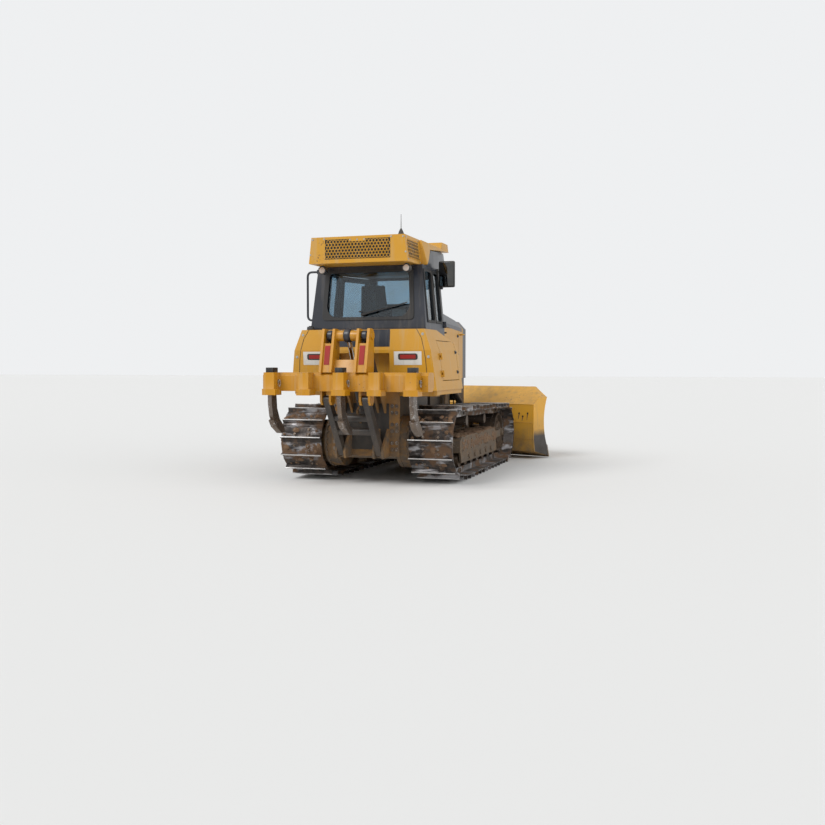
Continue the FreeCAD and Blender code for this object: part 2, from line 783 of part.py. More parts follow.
def hood_hull(inset, x0=hood_rear_x, x1=hood_front_x):
    """Engine hood: tapering sides, sloped shoulders and a crown, with an open underside."""
    def section(x):
        t = (x - hood_rear_x) / (hood_front_x - hood_rear_x)
        side = hood_rear_y + (hood_front_y - hood_rear_y) * t - inset
        crown = crown_rear_y + (crown_front_y - crown_rear_y) * t - inset * 0.6
        shoulder = shoulder_rear_z + (shoulder_front_z - shoulder_rear_z) * t - inset * 0.3
        top = crown_rear_z + (crown_front_z - crown_rear_z) * t - inset
        half = [(side, hood_floor_z), (side, shoulder), (crown, top)]
        return wire([V(x, y, z) for y, z in symmetric(half)])
    return Part.makeLoft([section(x0), section(x1)], True, True)


def hood_skin():
    inner = hood_hull(hood_wall)
    return hood_hull(0).cut(inner)


def hood_side_y(x):
    return hood_rear_y + (hood_front_y - hood_rear_y) * (x - hood_rear_x) / (hood_front_x - hood_rear_x)


engine_hinge_zs = (1500.0, 1760.0, 2030.0)
engine_door_turn = math.atan((hood_rear_y - hood_front_y) / (hood_front_x - hood_rear_x))


def engine_hinges():
    along = (math.cos(engine_door_turn), -math.sin(engine_door_turn), 0.0)
    x = engine_door_x0 + hinge_off * math.sin(engine_door_turn)
    y = hood_side_y(engine_door_x0) + hinge_off * math.cos(engine_door_turn)
    return [hinge((x, y, z), (0, 0, 1), 90, along) for z in engine_hinge_zs]


def engine_door():
    """Side door over the engine, cut from the hood's left side."""
    g = door_gap / 2
    panel = hood_skin().common(box(engine_door_x0 + g, engine_door_x1 - g, 300, 700,
                                   engine_door_z0 + g, engine_door_z1 - g))
    return fused([panel] + [leaf for fixed, leaf in engine_hinges()])


def hood():
    shell = hood_skin()
    g = door_gap / 2
    for s in (1, -1):
        y0, y1 = sorted((s * 300, s * 700))
        shell = shell.cut(box(engine_door_x0 - g, engine_door_x1 + g, y0, y1,
                              engine_door_z0 - g, engine_door_z1 + g))
    lugs = [fixed for fixed, leaf in engine_hinges()]
    return fused([shell] + lugs + [mirrored(piece) for piece in lugs])


def radiator_guard():
    """Nose box on two legs that stand on the frame, with an open grille of upright bars."""
    side = hood_front_y
    outer = cross_prism(symmetric([(nose_leg_y, chassis_top_z), (nose_leg_y, hood_floor_z), (side, hood_floor_z),
                                   (side, shoulder_front_z), (crown_front_y, crown_front_z)]),
                        hood_front_x, nose_front_x)
    legs = box(nose_leg_rear_x, hood_front_x, -nose_leg_y, nose_leg_y, chassis_top_z, hood_floor_z)
    inner = cross_prism(symmetric([(nose_leg_y - 30, chassis_top_z + 25), (nose_leg_y - 30, shoulder_front_z - 30),
                                   (crown_front_y - 30, crown_front_z - 40)]), hood_front_x + 20, nose_front_x + 5)
    hollow = box(nose_leg_rear_x - 5, hood_front_x + 25, -nose_leg_y + 30, nose_leg_y - 30,
                 chassis_top_z + 25, hood_floor_z - 25)
    shell = outer.fuse(legs).cut(inner).cut(hollow)
    bars = []
    step = 2 * (nose_leg_y - 30) / (grille_bars + 1)
    for i in range(grille_bars):
        y = -(nose_leg_y - 30) + step * (i + 1)
        top = crown_front_z - 40 if abs(y) < crown_front_y - 40 else shoulder_front_z - 20
        bars.append(box(nose_front_x - 40, nose_front_x - 15, y - 7, y + 7, chassis_top_z + 25, top))
    return fused([shell] + bars)


# Seat and fittings in the cab
seat_x = -1330.0
seat_z = 1990.0
seat_width = 500.0
console_y = 330.0


def seat_cushion():
    """Seat pad and backrest, as two plain closed solids."""
    half = seat_width / 2
    pad = side_prism([(seat_x - 250, seat_z), (seat_x + 250, seat_z), (seat_x + 250, seat_z + 110),
                      (seat_x - 250, seat_z + 90)], -half, half)
    back = side_prism([(seat_x - 270, seat_z + 120), (seat_x - 160, seat_z + 120), (seat_x - 250, seat_z + 760),
                       (seat_x - 340, seat_z + 760)], -half, half)
    return Part.makeCompound([pad, back])


def seat_base():
    """Pedestal and pan under the seat, with the bracket behind its back."""
    half = seat_width / 2
    floor = cab_floor_z + cab_wall
    pedestal = box(seat_x - 200, seat_x + 200, -half + 60, half - 60, floor, seat_z - 40)
    pan = box(seat_x - 300, seat_x + 240, -half + 10, half - 10, seat_z - 40, seat_z)
    spine = side_prism([(seat_x - 300, seat_z - 40), (seat_x - 270, seat_z - 40), (seat_x - 270, seat_z + 120),
                        (seat_x - 340, seat_z + 620), (seat_x - 350, seat_z + 620), (seat_x - 300, seat_z + 100)],
                       -60, 60)
    return fused([pedestal, pan, spine])


def controls():
    """Armrest boxes with a lever each, and the instrument panel at the front."""
    floor = cab_floor_z + cab_wall
    parts = []
    for s in (1, -1):
        y0, y1 = sorted((s * (console_y - 35), s * (console_y + 75)))
        parts.append(side_prism([(seat_x - 200, floor), (seat_x + 200, floor), (seat_x + 330, seat_z + 150),
                                 (seat_x + 330, seat_z + 240), (seat_x - 200, seat_z + 240)], y0, y1))
        parts.append(rod((seat_x + 270, s * (console_y + 20), seat_z + 236),
                         (seat_x + 290, s * (console_y + 20), seat_z + 380), 22))
    front = cab_front_x - cab_wall
    panel = side_prism([(front - 260, seat_z + 60), (front - 180, seat_z + 420), (front - 1, seat_z + 470),
                        (front - 1, floor), (front - 120, floor)], -260, 260)
    return Part.makeCompound([fused(parts[0:2]), fused(parts[2:4]), panel])


# Lamps, mirror, rail and antenna
rear_lamp_x = -1960.0
rear_lamp_y = 606.0
rear_lamp_z = 2915.0
rear_lamp_r = 55.0
front_lamp_ys = (-520.0, -250.0, 250.0, 520.0)
mirror_x = -1090.0
mirror_y = -1000.0
mirror_z = 2900.0
rail_reach_y = 955.0
rail_low_z = 2250.0
rail_high_z = 2925.0
rail_x = -1700.0
antenna_x = -1000.0
antenna_y = -200.0
antenna_tip_z = roof_top_z + 460


def work_lamps():
    """Round lamps under the air conditioner and square ones along the visor's front."""
    parts = []
    for s in (1, -1):
        body = rod((rear_lamp_x - 45, s * rear_lamp_y, rear_lamp_z), (rear_lamp_x + 40, s * rear_lamp_y, rear_lamp_z),
                   rear_lamp_r)
        stem = box(rear_lamp_x - 20, rear_lamp_x + 20, s * rear_lamp_y - 15, s * rear_lamp_y + 15,
                   rear_lamp_z + 40, cab_top_z)
        parts.append(fused([body, stem]))
    for y in front_lamp_ys:
        parts.append(box(roof_front_x, roof_front_x + 70, y - 65, y + 65, roof_top_z - 190, roof_top_z - 100))
    return Part.makeCompound(parts)


def mirror_right():
    """Mirror head on a bent tube from the right rear side of the cab."""
    wall_y = -(cab_top_y + (cab_top_z - mirror_z) * cab_hinge_slope)
    arm = rod((mirror_x + 20, wall_y - 4, mirror_z + 40), (mirror_x + 20, mirror_y, mirror_z + 40), 12)
    foot = box(mirror_x - 10, mirror_x + 50, wall_y - 12, wall_y + 10, mirror_z - 10, mirror_z + 75)
    foot = foot.cut(cab_hull(-seat_gap))
    drop = rod((mirror_x + 20, mirror_y, mirror_z + 52), (mirror_x + 20, mirror_y, mirror_z - 120), 12)
    head = box(mirror_x - 25, mirror_x + 15, mirror_y - 75, mirror_y + 75, mirror_z - 200, mirror_z + 30)
    return fused([arm, foot, drop, head])


def grab_rail():
    """C-shaped tube beside the left rear pillar."""
    parts = [rod((rail_x, rail_reach_y, rail_low_z), (rail_x, rail_reach_y, rail_high_z), 14)]
    for z in (rail_low_z, rail_high_z):
        wall_y = cab_y - (z - cab_waist_z) * cab_hinge_slope
        parts.append(rod((rail_x, wall_y - 5, z), (rail_x, rail_reach_y, z), 14))
        parts.append(Part.makeSphere(14, V(rail_x, rail_reach_y, z)))
    return fused(parts).cut(cab_hull(-seat_gap))


def antenna():
    dome = Part.makeCone(48, 34, 120, V(antenna_x, antenna_y, roof_top_z))
    whip = Part.makeCone(7, 3, antenna_tip_z - roof_top_z - 120, V(antenna_x, antenna_y, roof_top_z + 120))
    return fused([dome, whip])


exhaust_x = 760.0
exhaust_y = -130.0
exhaust_top_z = 3020.0


def exhaust_stack():
    """Upright pipe on the hood with a wider muffler cover at its foot and a slanting mouth."""
    def crown_z(x):
        return crown_rear_z + (crown_front_z - crown_rear_z) * (x - hood_rear_x) / (hood_front_x - hood_rear_x)
    foot = rod((exhaust_x, exhaust_y, crown_z(exhaust_x) - 40), (exhaust_x, exhaust_y, crown_z(exhaust_x) + 150), 95)
    foot = foot.cut(hood_hull(-seat_gap))
    pipe = rod((exhaust_x, exhaust_y, crown_z(exhaust_x) + 150), (exhaust_x, exhaust_y, exhaust_top_z), 62)
    bore = rod((exhaust_x, exhaust_y, exhaust_top_z - 220), (exhaust_x, exhaust_y, exhaust_top_z + 5), 55)
    mouth = side_prism([(exhaust_x - 80, exhaust_top_z + 10), (exhaust_x - 80, exhaust_top_z - 90),
                        (exhaust_x + 80, exhaust_top_z + 10)], exhaust_y - 100, exhaust_y + 100)
    return fused([foot, pipe]).cut(bore).cut(mouth)


def engine_block():
    return box(engine_x0, engine_x1, -engine_y, engine_y, chassis_top_z, engine_top_z)


# Blade group
fork_r = 85.0
fork_thick = 50.0
fork_gap = 70.0
yoke_front = blade_back - 10
yoke_back = fork_r + 10
lift_eye_width = 70.0
eye_r = 62.0


def c_frame():
    """Two side arms, a deep cross member and a nose with a fork for the swing pin."""
    parts = []
    for s in (1, -1):
        y0, y1 = sorted((s * (arm_y - arm_thick / 2), s * (arm_y + arm_thick / 2)))
        arm = side_prism([(carrier_pivot_x, arm_floor_z), (cross_front_x, arm_floor_z), (cross_front_x, arm_top_z),
                          (carrier_pivot_x, arm_top_z)], y0, y1)
        arm = arm.fuse(pin_across(carrier_pivot_x, carrier_pivot_z, (arm_top_z - arm_floor_z) / 2, y0, y1))
        parts.append(arm)
        # cheeks that hold the lift rod's eye
        for a, b in ((lift_y + lift_eye_width / 2, arm_y - arm_thick / 2),
                     (lift_y - lift_eye_width / 2 - 20, lift_y - lift_eye_width / 2)):
            cheek = sorted((s * a, s * b))
            parts.append(side_prism([(lift_eye_x - 90, arm_floor_z + 40), (cross_rear_x + 5, arm_floor_z + 40),
                                     (cross_rear_x + 5, arm_top_z), (lift_eye_x + 60, lift_eye_z + 50),
                                     (lift_eye_x - 60, lift_eye_z + 50)], *cheek))
        # shelf and upright pin for the angle cylinder
        parts.append(box(angle_base_x - 60, angle_base_x + 45, y0, y1, arm_top_z, angle_z - 50))
        parts.append(rod((angle_base_x, s * angle_y, angle_z - 50), (angle_base_x, s * angle_y, angle_z + 40), 22))
    parts.append(box(cross_rear_x, cross_front_x, -arm_y, arm_y, arm_floor_z, arm_top_z))
    bore = rod((carrier_pivot_x, -arm_y - 80, carrier_pivot_z), (carrier_pivot_x, arm_y + 80, carrier_pivot_z),
               50 + pin_gap)
    for z in (swing_z - fork_gap - fork_thick, swing_z + fork_gap):
        plate = plan_prism([(cross_front_x, -330), (swing_x, -fork_r), (swing_x, fork_r), (cross_front_x, 330)],
                           z, z + fork_thick)
        parts.append(plate)
        parts.append(rod((swing_x, 0, z), (swing_x, 0, z + fork_thick), fork_r))
    parts.append(rod((swing_x, 0, swing_z - fork_gap), (swing_x, 0, swing_z + fork_gap), swing_pin_r))
    return fused(parts).cut(bore)


def yawed(shape):
    """Turn a shape, modelled with the blade square to the machine, to the angle it rests at."""
    turned = shape.copy()
    turned.rotate(V(swing_x, 0, 0), V(0, 0, 1), blade_yaw)
    return turned


def blade_yoke():
    """Swing block on the upright pin, a beam with lugs for the angle cylinders, and the tilt pin."""
    x = swing_x
    block_top = swing_z + fork_gap - side_gap
    block_floor = swing_z - fork_gap + side_gap
    parts = [rod((x, 0, block_floor), (x, 0, block_top), fork_r - 5),
             box(x, x + yoke_front, -fork_r + 5, fork_r - 5, block_floor, block_top),
             box(x + yoke_back, x + yoke_front, -130, 130, 380, angle_z - 30),
             box(x + yoke_back, x + yoke_front, -angle_eye_side - 50, angle_eye_side + 50, angle_z - 60, angle_z + 50),
             box(x + yoke_front - 35, x + yoke_front, tilt_base_side - 60, tilt_base_side + 60, angle_z + 50,
                 tilt_z + 55),
             rod((x + tilt_back - 24, tilt_base_side, tilt_z), (x + yoke_front, tilt_base_side, tilt_z), 24),
             rod((x + yoke_front - 5, 0, swing_z), (x + blade_back + 90, 0, swing_z), tilt_pin_r)]
    for s in (1, -1):
        for z in (angle_z - 48, angle_z + 28):
            parts.append(box(x + angle_eye_back - 35, x + yoke_back + 5, s * angle_eye_side - 38,
                             s * angle_eye_side + 38, z, z + 20))
    shape = fused(parts).cut(rod((x, 0, block_floor - 5), (x, 0, block_top + 5), swing_pin_r + pin_gap))
    return yawed(shape)


# Blade section, square to the machine: distances ahead of the swing pin, and heights
face_top = (725.0, blade_top_z)
face_waist = (495.0, 640.0)
face_low = (598.0, edge_top_z)
face_foot = (648.0, blade_floor_z)
back_profile = ((595.0, blade_floor_z), (185.0, 140.0), (158.0, 350.0), (blade_back + 2, 630.0), (172.0, 940.0))


def blade_section(inset):
    """Face between the curved front and the folded back; an inset leaves the sheet's thickness."""
    i = inset
    x = swing_x

    def at(point, dx, dz):
        return V(x + point[0] + dx, 0, point[1] + dz)
    top = at(face_top, -i, -i)
    low = at(face_low, -i, 0)
    foot = at(face_foot, -i * 1.2, i)
    front = Part.Arc(top, at(face_waist, -i, 0), low).toShape()
    back = [at(back_profile[0], 0, i)]
    back += [at(point, i, i * 0.5) for point in back_profile[1:2]]
    back += [at(point, i, 0) for point in back_profile[2:4]]
    back += [at(back_profile[4], i, -i * 0.6), at((face_top[0] - 50, face_top[1]), 0, -i)]
    edges = [front, Part.LineSegment(low, foot).toShape()]
    outline = [foot] + back + [top]
    for a, b in zip(outline, outline[1:]):
        edges.append(Part.LineSegment(a, b).toShape())
    return Part.Face(Part.Wire(edges))


def blade():
    """Curved mouldboard on a hollow box back, closed by end plates with cut top corners."""
    def slab(inset, half):
        face = blade_section(inset)
        face.translate(V(0, -half, 0))
        return face.extrude(V(0, 2 * half, 0))
    half = blade_half_width
    shell = slab(0, half).cut(slab(blade_skin, half - blade_skin))
    corner = cross_prism([(blade_cut_y, blade_top_z + 1), (half + 1, blade_cut_z - 1), (half + 1, blade_top_z + 1)],
                         swing_x, swing_x + 900)
    shell = shell.cut(corner).cut(mirrored(corner))
    boss = rod((swing_x + blade_back + 4, 0, swing_z), (swing_x + blade_back + 120, 0, swing_z), tilt_pin_r + 40)
    boss = boss.common(slab(0, half))
    lug = rod((swing_x + tilt_back - 24, tilt_eye_side, tilt_z), (swing_x + blade_back + 30, tilt_eye_side, tilt_z), 20)
    shape = fused([shell, boss, lug])
    bore = rod((swing_x, 0, swing_z), (swing_x + blade_back + 95, 0, swing_z), tilt_pin_r + pin_gap)
    return yawed(shape.cut(bore))


def cutting_edge():
    """Bolted steel edge along the foot of the mouldboard, standing in front of it and below it."""
    x = swing_x
    lean = (face_foot[0] - face_low[0]) / (face_low[1] - face_foot[1])
    low_x = x + face_low[0] + (edge_top_z - edge_floor_z) * lean
    top_x = x + face_low[0]
    plate = side_prism([(top_x, edge_top_z), (top_x + edge_thick, edge_top_z - 6),
                        (low_x + edge_thick, edge_floor_z), (low_x, edge_floor_z)],
                       -blade_half_width, blade_half_width)
    return yawed(plate)


def cylinder_parts(base, eye, side, spec):
    """Barrel and rod between a base pin and an eye, both lying in a plane whose normal is side.
    spec names its radii, where the barrel and the rod start and end, and the eyes' widths."""
    base = V(*base)
    eye = V(*eye)
    side = V(*side)
    way = (eye - base)
    span = way.Length
    way.normalize()

    def along(distance):
        return base + way * distance
    half = spec["width"] / 2
    ring = Part.makeCylinder(spec["ring_r"], 2 * half, base - side * half, side)
    neck = Part.makeCylinder(half * 0.95, spec["barrel_start"], base, way)
    barrel = Part.makeCylinder(spec["barrel_r"], spec["barrel_end"] - spec["barrel_start"],
                               along(spec["barrel_start"]), way)
    gland = Part.makeCylinder(spec["barrel_r"] + 6, 40, along(spec["barrel_end"] - 40), way)
    bore = Part.makeCylinder(spec["rod_r"] + pin_gap, span, along(spec["bore_start"]), way)
    hole = Part.makeCylinder(spec["base_pin_r"] + pin_gap, 2 * half + 4, base - side * (half + 2), side)
    barrel = fused([ring, neck, barrel, gland]).cut(bore).cut(hole)
    half = spec["eye_width"] / 2
    tip = Part.makeCylinder(spec["ring_r"] * 0.9, 2 * half, eye - side * half, side)
    length = span - spec["rod_end"]
    shaft = Part.makeCylinder(spec["rod_r"], length, along(spec["rod_end"]), way)
    shaft = fused([tip, shaft])
    if spec["eye_pin_r"]:
        shaft = shaft.cut(Part.makeCylinder(spec["eye_pin_r"], 2 * half + 4, eye - side * (half + 2), side))
    return barrel, shaft


lift_cylinder = {"barrel_r": 50.0, "rod_r": 27.0, "barrel_start": 60.0, "bore_start": 72.0, "barrel_end": 925.0, "rod_end": 603.0,
                 "base_pin_r": 30.0, "eye_pin_r": 0.0, "width": 56.0, "eye_width": 69.4, "ring_r": 52.0}
angle_cylinder = {"barrel_r": 40.0, "rod_r": 24.0, "barrel_start": 52.0, "bore_start": 64.0, "barrel_end": 587.0, "rod_end": 547.0,
                  "base_pin_r": 22.0, "eye_pin_r": 0.0, "width": 54.0, "eye_width": 55.4, "ring_r": 38.0}
tilt_cylinder = {"barrel_r": 34.0, "rod_r": 20.0, "barrel_start": 50.0, "bore_start": 62.0, "barrel_end": 420.0, "rod_end": 300.0,
                 "base_pin_r": 24.0, "eye_pin_r": 24.0, "width": 40.0, "eye_width": 40.0, "ring_r": 42.0}
ripper_cylinder = {"barrel_r": 62.0, "rod_r": 34.0, "barrel_start": 128.0, "bore_start": 80.0, "barrel_end": 655.0, "rod_end": 560.0,
                   "base_pin_r": 38.0, "eye_pin_r": 0.0, "width": 84.0, "eye_width": 93.4, "ring_r": 66.0}


def lift_cylinders():
    barrel, shaft = cylinder_parts((lift_base_x, lift_y, lift_base_z), (lift_eye_x, lift_y, lift_eye_z),
                                   (0, 1, 0), lift_cylinder)
    return both_sides(barrel), both_sides(shaft)


def swung_point(back, side):
    """Place of a yoke pin at rest, from its distances ahead of and beside the swing pin."""
    yaw = math.radians(blade_yaw)
    return (swing_x + back * math.cos(yaw) - side * math.sin(yaw), back * math.sin(yaw) + side * math.cos(yaw))


def angle_cylinder_pair(s):
    """One angle cylinder; the two differ in length because the blade rests at an angle."""
    ex, ey = swung_point(angle_eye_back, s * angle_eye_side)
    base = (angle_base_x, s * angle_y, angle_z)
    span = math.dist((ex, ey), base[:2])
    spec = dict(angle_cylinder)
    far_span = math.hypot(swing_x - angle_base_x + angle_eye_side * math.sin(math.radians(22)) + 30, 40)
    rod_length = far_span - angle_cylinder["rod_end"]
    spec["rod_end"] = span - rod_length
    return cylinder_parts(base, (ex, ey, angle_z), (0, 0, 1), spec)


def tilt_cylinder_parts():
    base = (swing_x + tilt_back, tilt_base_side, tilt_z)
    eye = (swing_x + tilt_back, tilt_eye_side, tilt_z)
    barrel, shaft = cylinder_parts(base, eye, (1, 0, 0), tilt_cylinder)
    return yawed(barrel), yawed(shaft)


# Ripper group
upper_rear = (lower_rear[0] + upper_front[0] - lower_front[0], lower_rear[1] + upper_front[1] - lower_front[1])
link_width = 110.0
pin_r = 42.0
flange_y = case_half_width + 70
cheek_thick = 30.0
tower_inner_y = 150.0
tower_outer_y = 330.0
tower_thick = 35.0
tower_top_z = 2090.0
eye_gap_y = 45.0


def ripper_frame():
    """Bolted plates behind the axle housing that carry the ripper's links and its cylinder."""
    back_x = case_rear_x
    parts = [box(back_x - 30, back_x, -flange_y, flange_y, 380, body_floor_z - 8)]
    for s in (1, -1):
        for middle, half in ((link_y, link_thick / 2),):
            for a in (middle - half - side_gap - cheek_thick, middle + half + side_gap):
                y0, y1 = sorted((s * a, s * (a + cheek_thick)))
                parts.append(side_prism([(back_x - 30, 380), (lower_front[0] - 60, 365),
                                         (lower_front[0] - 85, 450), (lower_front[0] - 60, 540),
                                         (back_x - 30, 760)], y0, y1))
        y0, y1 = sorted((s * (link_y - link_thick / 2 - side_gap - 5), s * (link_y + link_thick / 2 + side_gap + 5)))
        parts.append(pin_across(lower_front[0], lower_front[1], pin_r, y0, y1))
        half = upper_link_thick / 2
        for a in (upper_link_y - half - side_gap - cheek_thick, upper_link_y + half + side_gap):
            y0, y1 = sorted((s * a, s * (a + cheek_thick)))
            parts.append(side_prism([(back_x - 30, 960), (upper_front[0] - 75, upper_front[1] - 40),
                                     (upper_front[0] - 60, upper_front[1] + 70),
                                     (upper_front[0] + 40, upper_front[1] + 70),
                                     (back_x - 30, body_floor_z - 8)], y0, y1))
        y0, y1 = sorted((s * (upper_link_y - half - side_gap - 5), s * (upper_link_y + half + side_gap + 5)))
        parts.append(pin_across(upper_front[0], upper_front[1], pin_r, y0, y1))
        a = ripper_cylinder["width"] / 2 + side_gap
        y0, y1 = sorted((s * a, s * (a + cheek_thick)))
        parts.append(side_prism([(back_x - 30, ripper_base[1] - 160), (ripper_base[0] - 50, ripper_base[1] - 60),
                                 (ripper_base[0] - 65, ripper_base[1] + 20), (ripper_base[0], ripper_base[1] + 70),
                                 (back_x - 30, ripper_base[1] + 120)], y0, y1))
    a = ripper_cylinder["width"] / 2 + side_gap + 5
    parts.append(pin_across(ripper_base[0], ripper_base[1], ripper_cylinder["base_pin_r"], -a, a))
    return fused(parts)


def ripper_lower_links():
    """Two bars joined by two round cross tubes."""
    parts = []
    for s in (1, -1):
        y0, y1 = sorted((s * (link_y - link_thick / 2), s * (link_y + link_thick / 2)))
        parts.append(bar_between(lower_front, lower_rear, link_width, y0, y1))
    for share in (0.40, 0.66):
        x = lower_front[0] + (lower_rear[0] - lower_front[0]) * share
        z = lower_front[1] + (lower_rear[1] - lower_front[1]) * share
        parts.append(pin_across(x, z, 50, -link_y, link_y))
    shape = fused(parts)
    for x, z in (lower_front, lower_rear):
        shape = shape.cut(pin_across(x, z, pin_r + pin_gap, -link_y - 100, link_y + 100))
    return shape


def ripper_upper_links():
    half = upper_link_thick / 2
    link = bar_between(upper_front, upper_rear, link_width * 0.72, upper_link_y - half, upper_link_y + half)
    link = link.cut(pin_across(upper_front[0], upper_front[1], pin_r + pin_gap, 0, 500))
    link = link.cut(pin_across(upper_rear[0], upper_rear[1], pin_r + 1.0, 0, 500))
    return both_sides(link)


def pocket_ys():
    return [pocket_pitch * i for i in (-2, -1, 0, 1, 2)]


def shank_ys():
    return [pocket_pitch * i for i in (-2, 0, 2)]


pocket_depth = 180.0
pocket_wall = 45.0


def ripper_beam():
    """Box beam with five shank pockets, hanger plates for the lower pins and two towers."""
    beam = side_prism([(beam_rear_x, beam_floor_z), (beam_rear_x, beam_top_z - 40), (beam_rear_x + 40, beam_top_z),
                       (beam_front_x - 40, beam_top_z), (beam_front_x, beam_top_z - 40),
                       (beam_front_x, beam_floor_z + 60), (beam_front_x - 60, beam_floor_z)],
                      -beam_half, beam_half)
    hollow = side_prism([(beam_rear_x + 30, beam_floor_z + 30), (beam_rear_x + 30, beam_top_z - 30),
                         (beam_front_x - 30, beam_top_z - 30), (beam_front_x - 30, beam_floor_z + 30)],
                        -beam_half + 25, beam_half - 25)
    parts = [beam.cut(hollow)]
    outer = shank_width / 2 + pocket_wall + 2
    for y in pocket_ys():
        parts.append(box(beam_rear_x - pocket_depth, beam_rear_x, y - outer, y + outer,
                         beam_floor_z - 20, beam_top_z))
        parts.append(box(beam_rear_x - pocket_depth - 8, beam_rear_x, y - outer - 20, y + outer + 20,
                         beam_floor_z - 50, beam_floor_z + 30))
    for s in (1, -1):
        # hangers either side of the lower links' rear ends
        for a in (link_y - link_thick / 2 - side_gap - cheek_thick, link_y + link_thick / 2 + side_gap):
            y0, y1 = sorted((s * a, s * (a + cheek_thick)))
            parts.append(side_prism([(lower_rear[0] - 75, beam_floor_z), (lower_rear[0] - 75, lower_rear[1] - 20),
                                     (lower_rear[0] - 40, lower_rear[1] - 70), (lower_rear[0] + 40, lower_rear[1] - 70),
                                     (lower_rear[0] + 75, lower_rear[1] - 20), (lower_rear[0] + 75, beam_floor_z)],
                                    y0, y1))
        y0, y1 = sorted((s * (link_y - link_thick / 2 - side_gap - 5), s * (link_y + link_thick / 2 + side_gap + 5)))
        parts.append(pin_across(lower_rear[0], lower_rear[1], pin_r, y0, y1))
        # tower: two side plates, closed behind
        front = upper_rear[0] + 75
        side = [(beam_rear_x - 40, beam_top_z), (upper_rear[0] - 85, tower_top_z), (front, tower_top_z),
                (beam_front_x - 20, beam_top_z)]
        for a, b in ((tower_inner_y, tower_inner_y + tower_thick), (tower_outer_y - tower_thick, tower_outer_y)):
            y0, y1 = sorted((s * a, s * b))
            parts.append(side_prism(side, y0, y1))
        y0, y1 = sorted((s * tower_inner_y, s * tower_outer_y))
        parts.append(side_prism([(beam_rear_x - 10, beam_top_z), (upper_rear[0] - 62, tower_top_z - 20),
                                 (upper_rear[0] - 42, tower_top_z - 20), (beam_rear_x + 25, beam_top_z)], y0, y1))
        y0, y1 = sorted((s * (tower_inner_y + 5), s * (tower_outer_y - 5)))
        parts.append(pin_across(upper_rear[0], upper_rear[1], pin_r, y0, y1))
        y0, y1 = sorted((s * (eye_gap_y + 2), s * tower_inner_y))
        parts.append(pin_across(upper_rear[0], upper_rear[1], 70, y0, y1))
    # slanting plate between the towers
    parts.append(side_prism([(beam_rear_x + 50, beam_top_z), (beam_rear_x + 90, beam_top_z + 165),
                             (beam_rear_x + 105, beam_top_z + 165), (beam_rear_x + 75, beam_top_z)],
                            -tower_inner_y, tower_inner_y))
    shape = fused(parts)
    for y in pocket_ys():
        half = shank_width / 2 + seat_gap
        shape = shape.cut(box(beam_rear_x - shank_depth - 10 - seat_gap, beam_rear_x - 10 + seat_gap,
                              y - half, y + half, beam_floor_z - 60, beam_top_z + 5))
    return shape


def ripper_shanks():
    """Curved shanks in the two outer pockets and the middle one, each with a pointed tip."""
    rear = beam_rear_x - 10 - shank_depth
    front = beam_rear_x - 10
    z = beam_floor_z
    outline = [(rear, shank_top_z), (front, shank_top_z), (front, z - 60), (front + 20, z - 230),
               (front + 95, z - 370), (front + 215, z - 470), (front + 265, shank_tip_z),
               (front + 130, shank_tip_z + 20), (front - 20, z - 440), (rear + 45, z - 330),
               (rear + 5, z - 160)]
    shapes = []
    for y in shank_ys():
        blade_plate = side_prism(outline, y - shank_width / 2, y + shank_width / 2)
        pin = pin_across((rear + front) / 2, shank_top_z - 14, 9, y - shank_width / 2 - 34, y + shank_width / 2 + 34)
        key = box(rear + 40, front - 40, y - shank_width / 2 - 30, y + shank_width / 2 + 30,
                  beam_top_z, beam_top_z + 16)
        shapes.append(fused([blade_plate, pin, key]))
    return Part.makeCompound(shapes)


def ripper_cylinder_parts():
    base = (ripper_base[0], 0, ripper_base[1])
    eye = (upper_rear[0], 0, upper_rear[1])
    return cylinder_parts(base, eye, (0, 1, 0), ripper_cylinder)


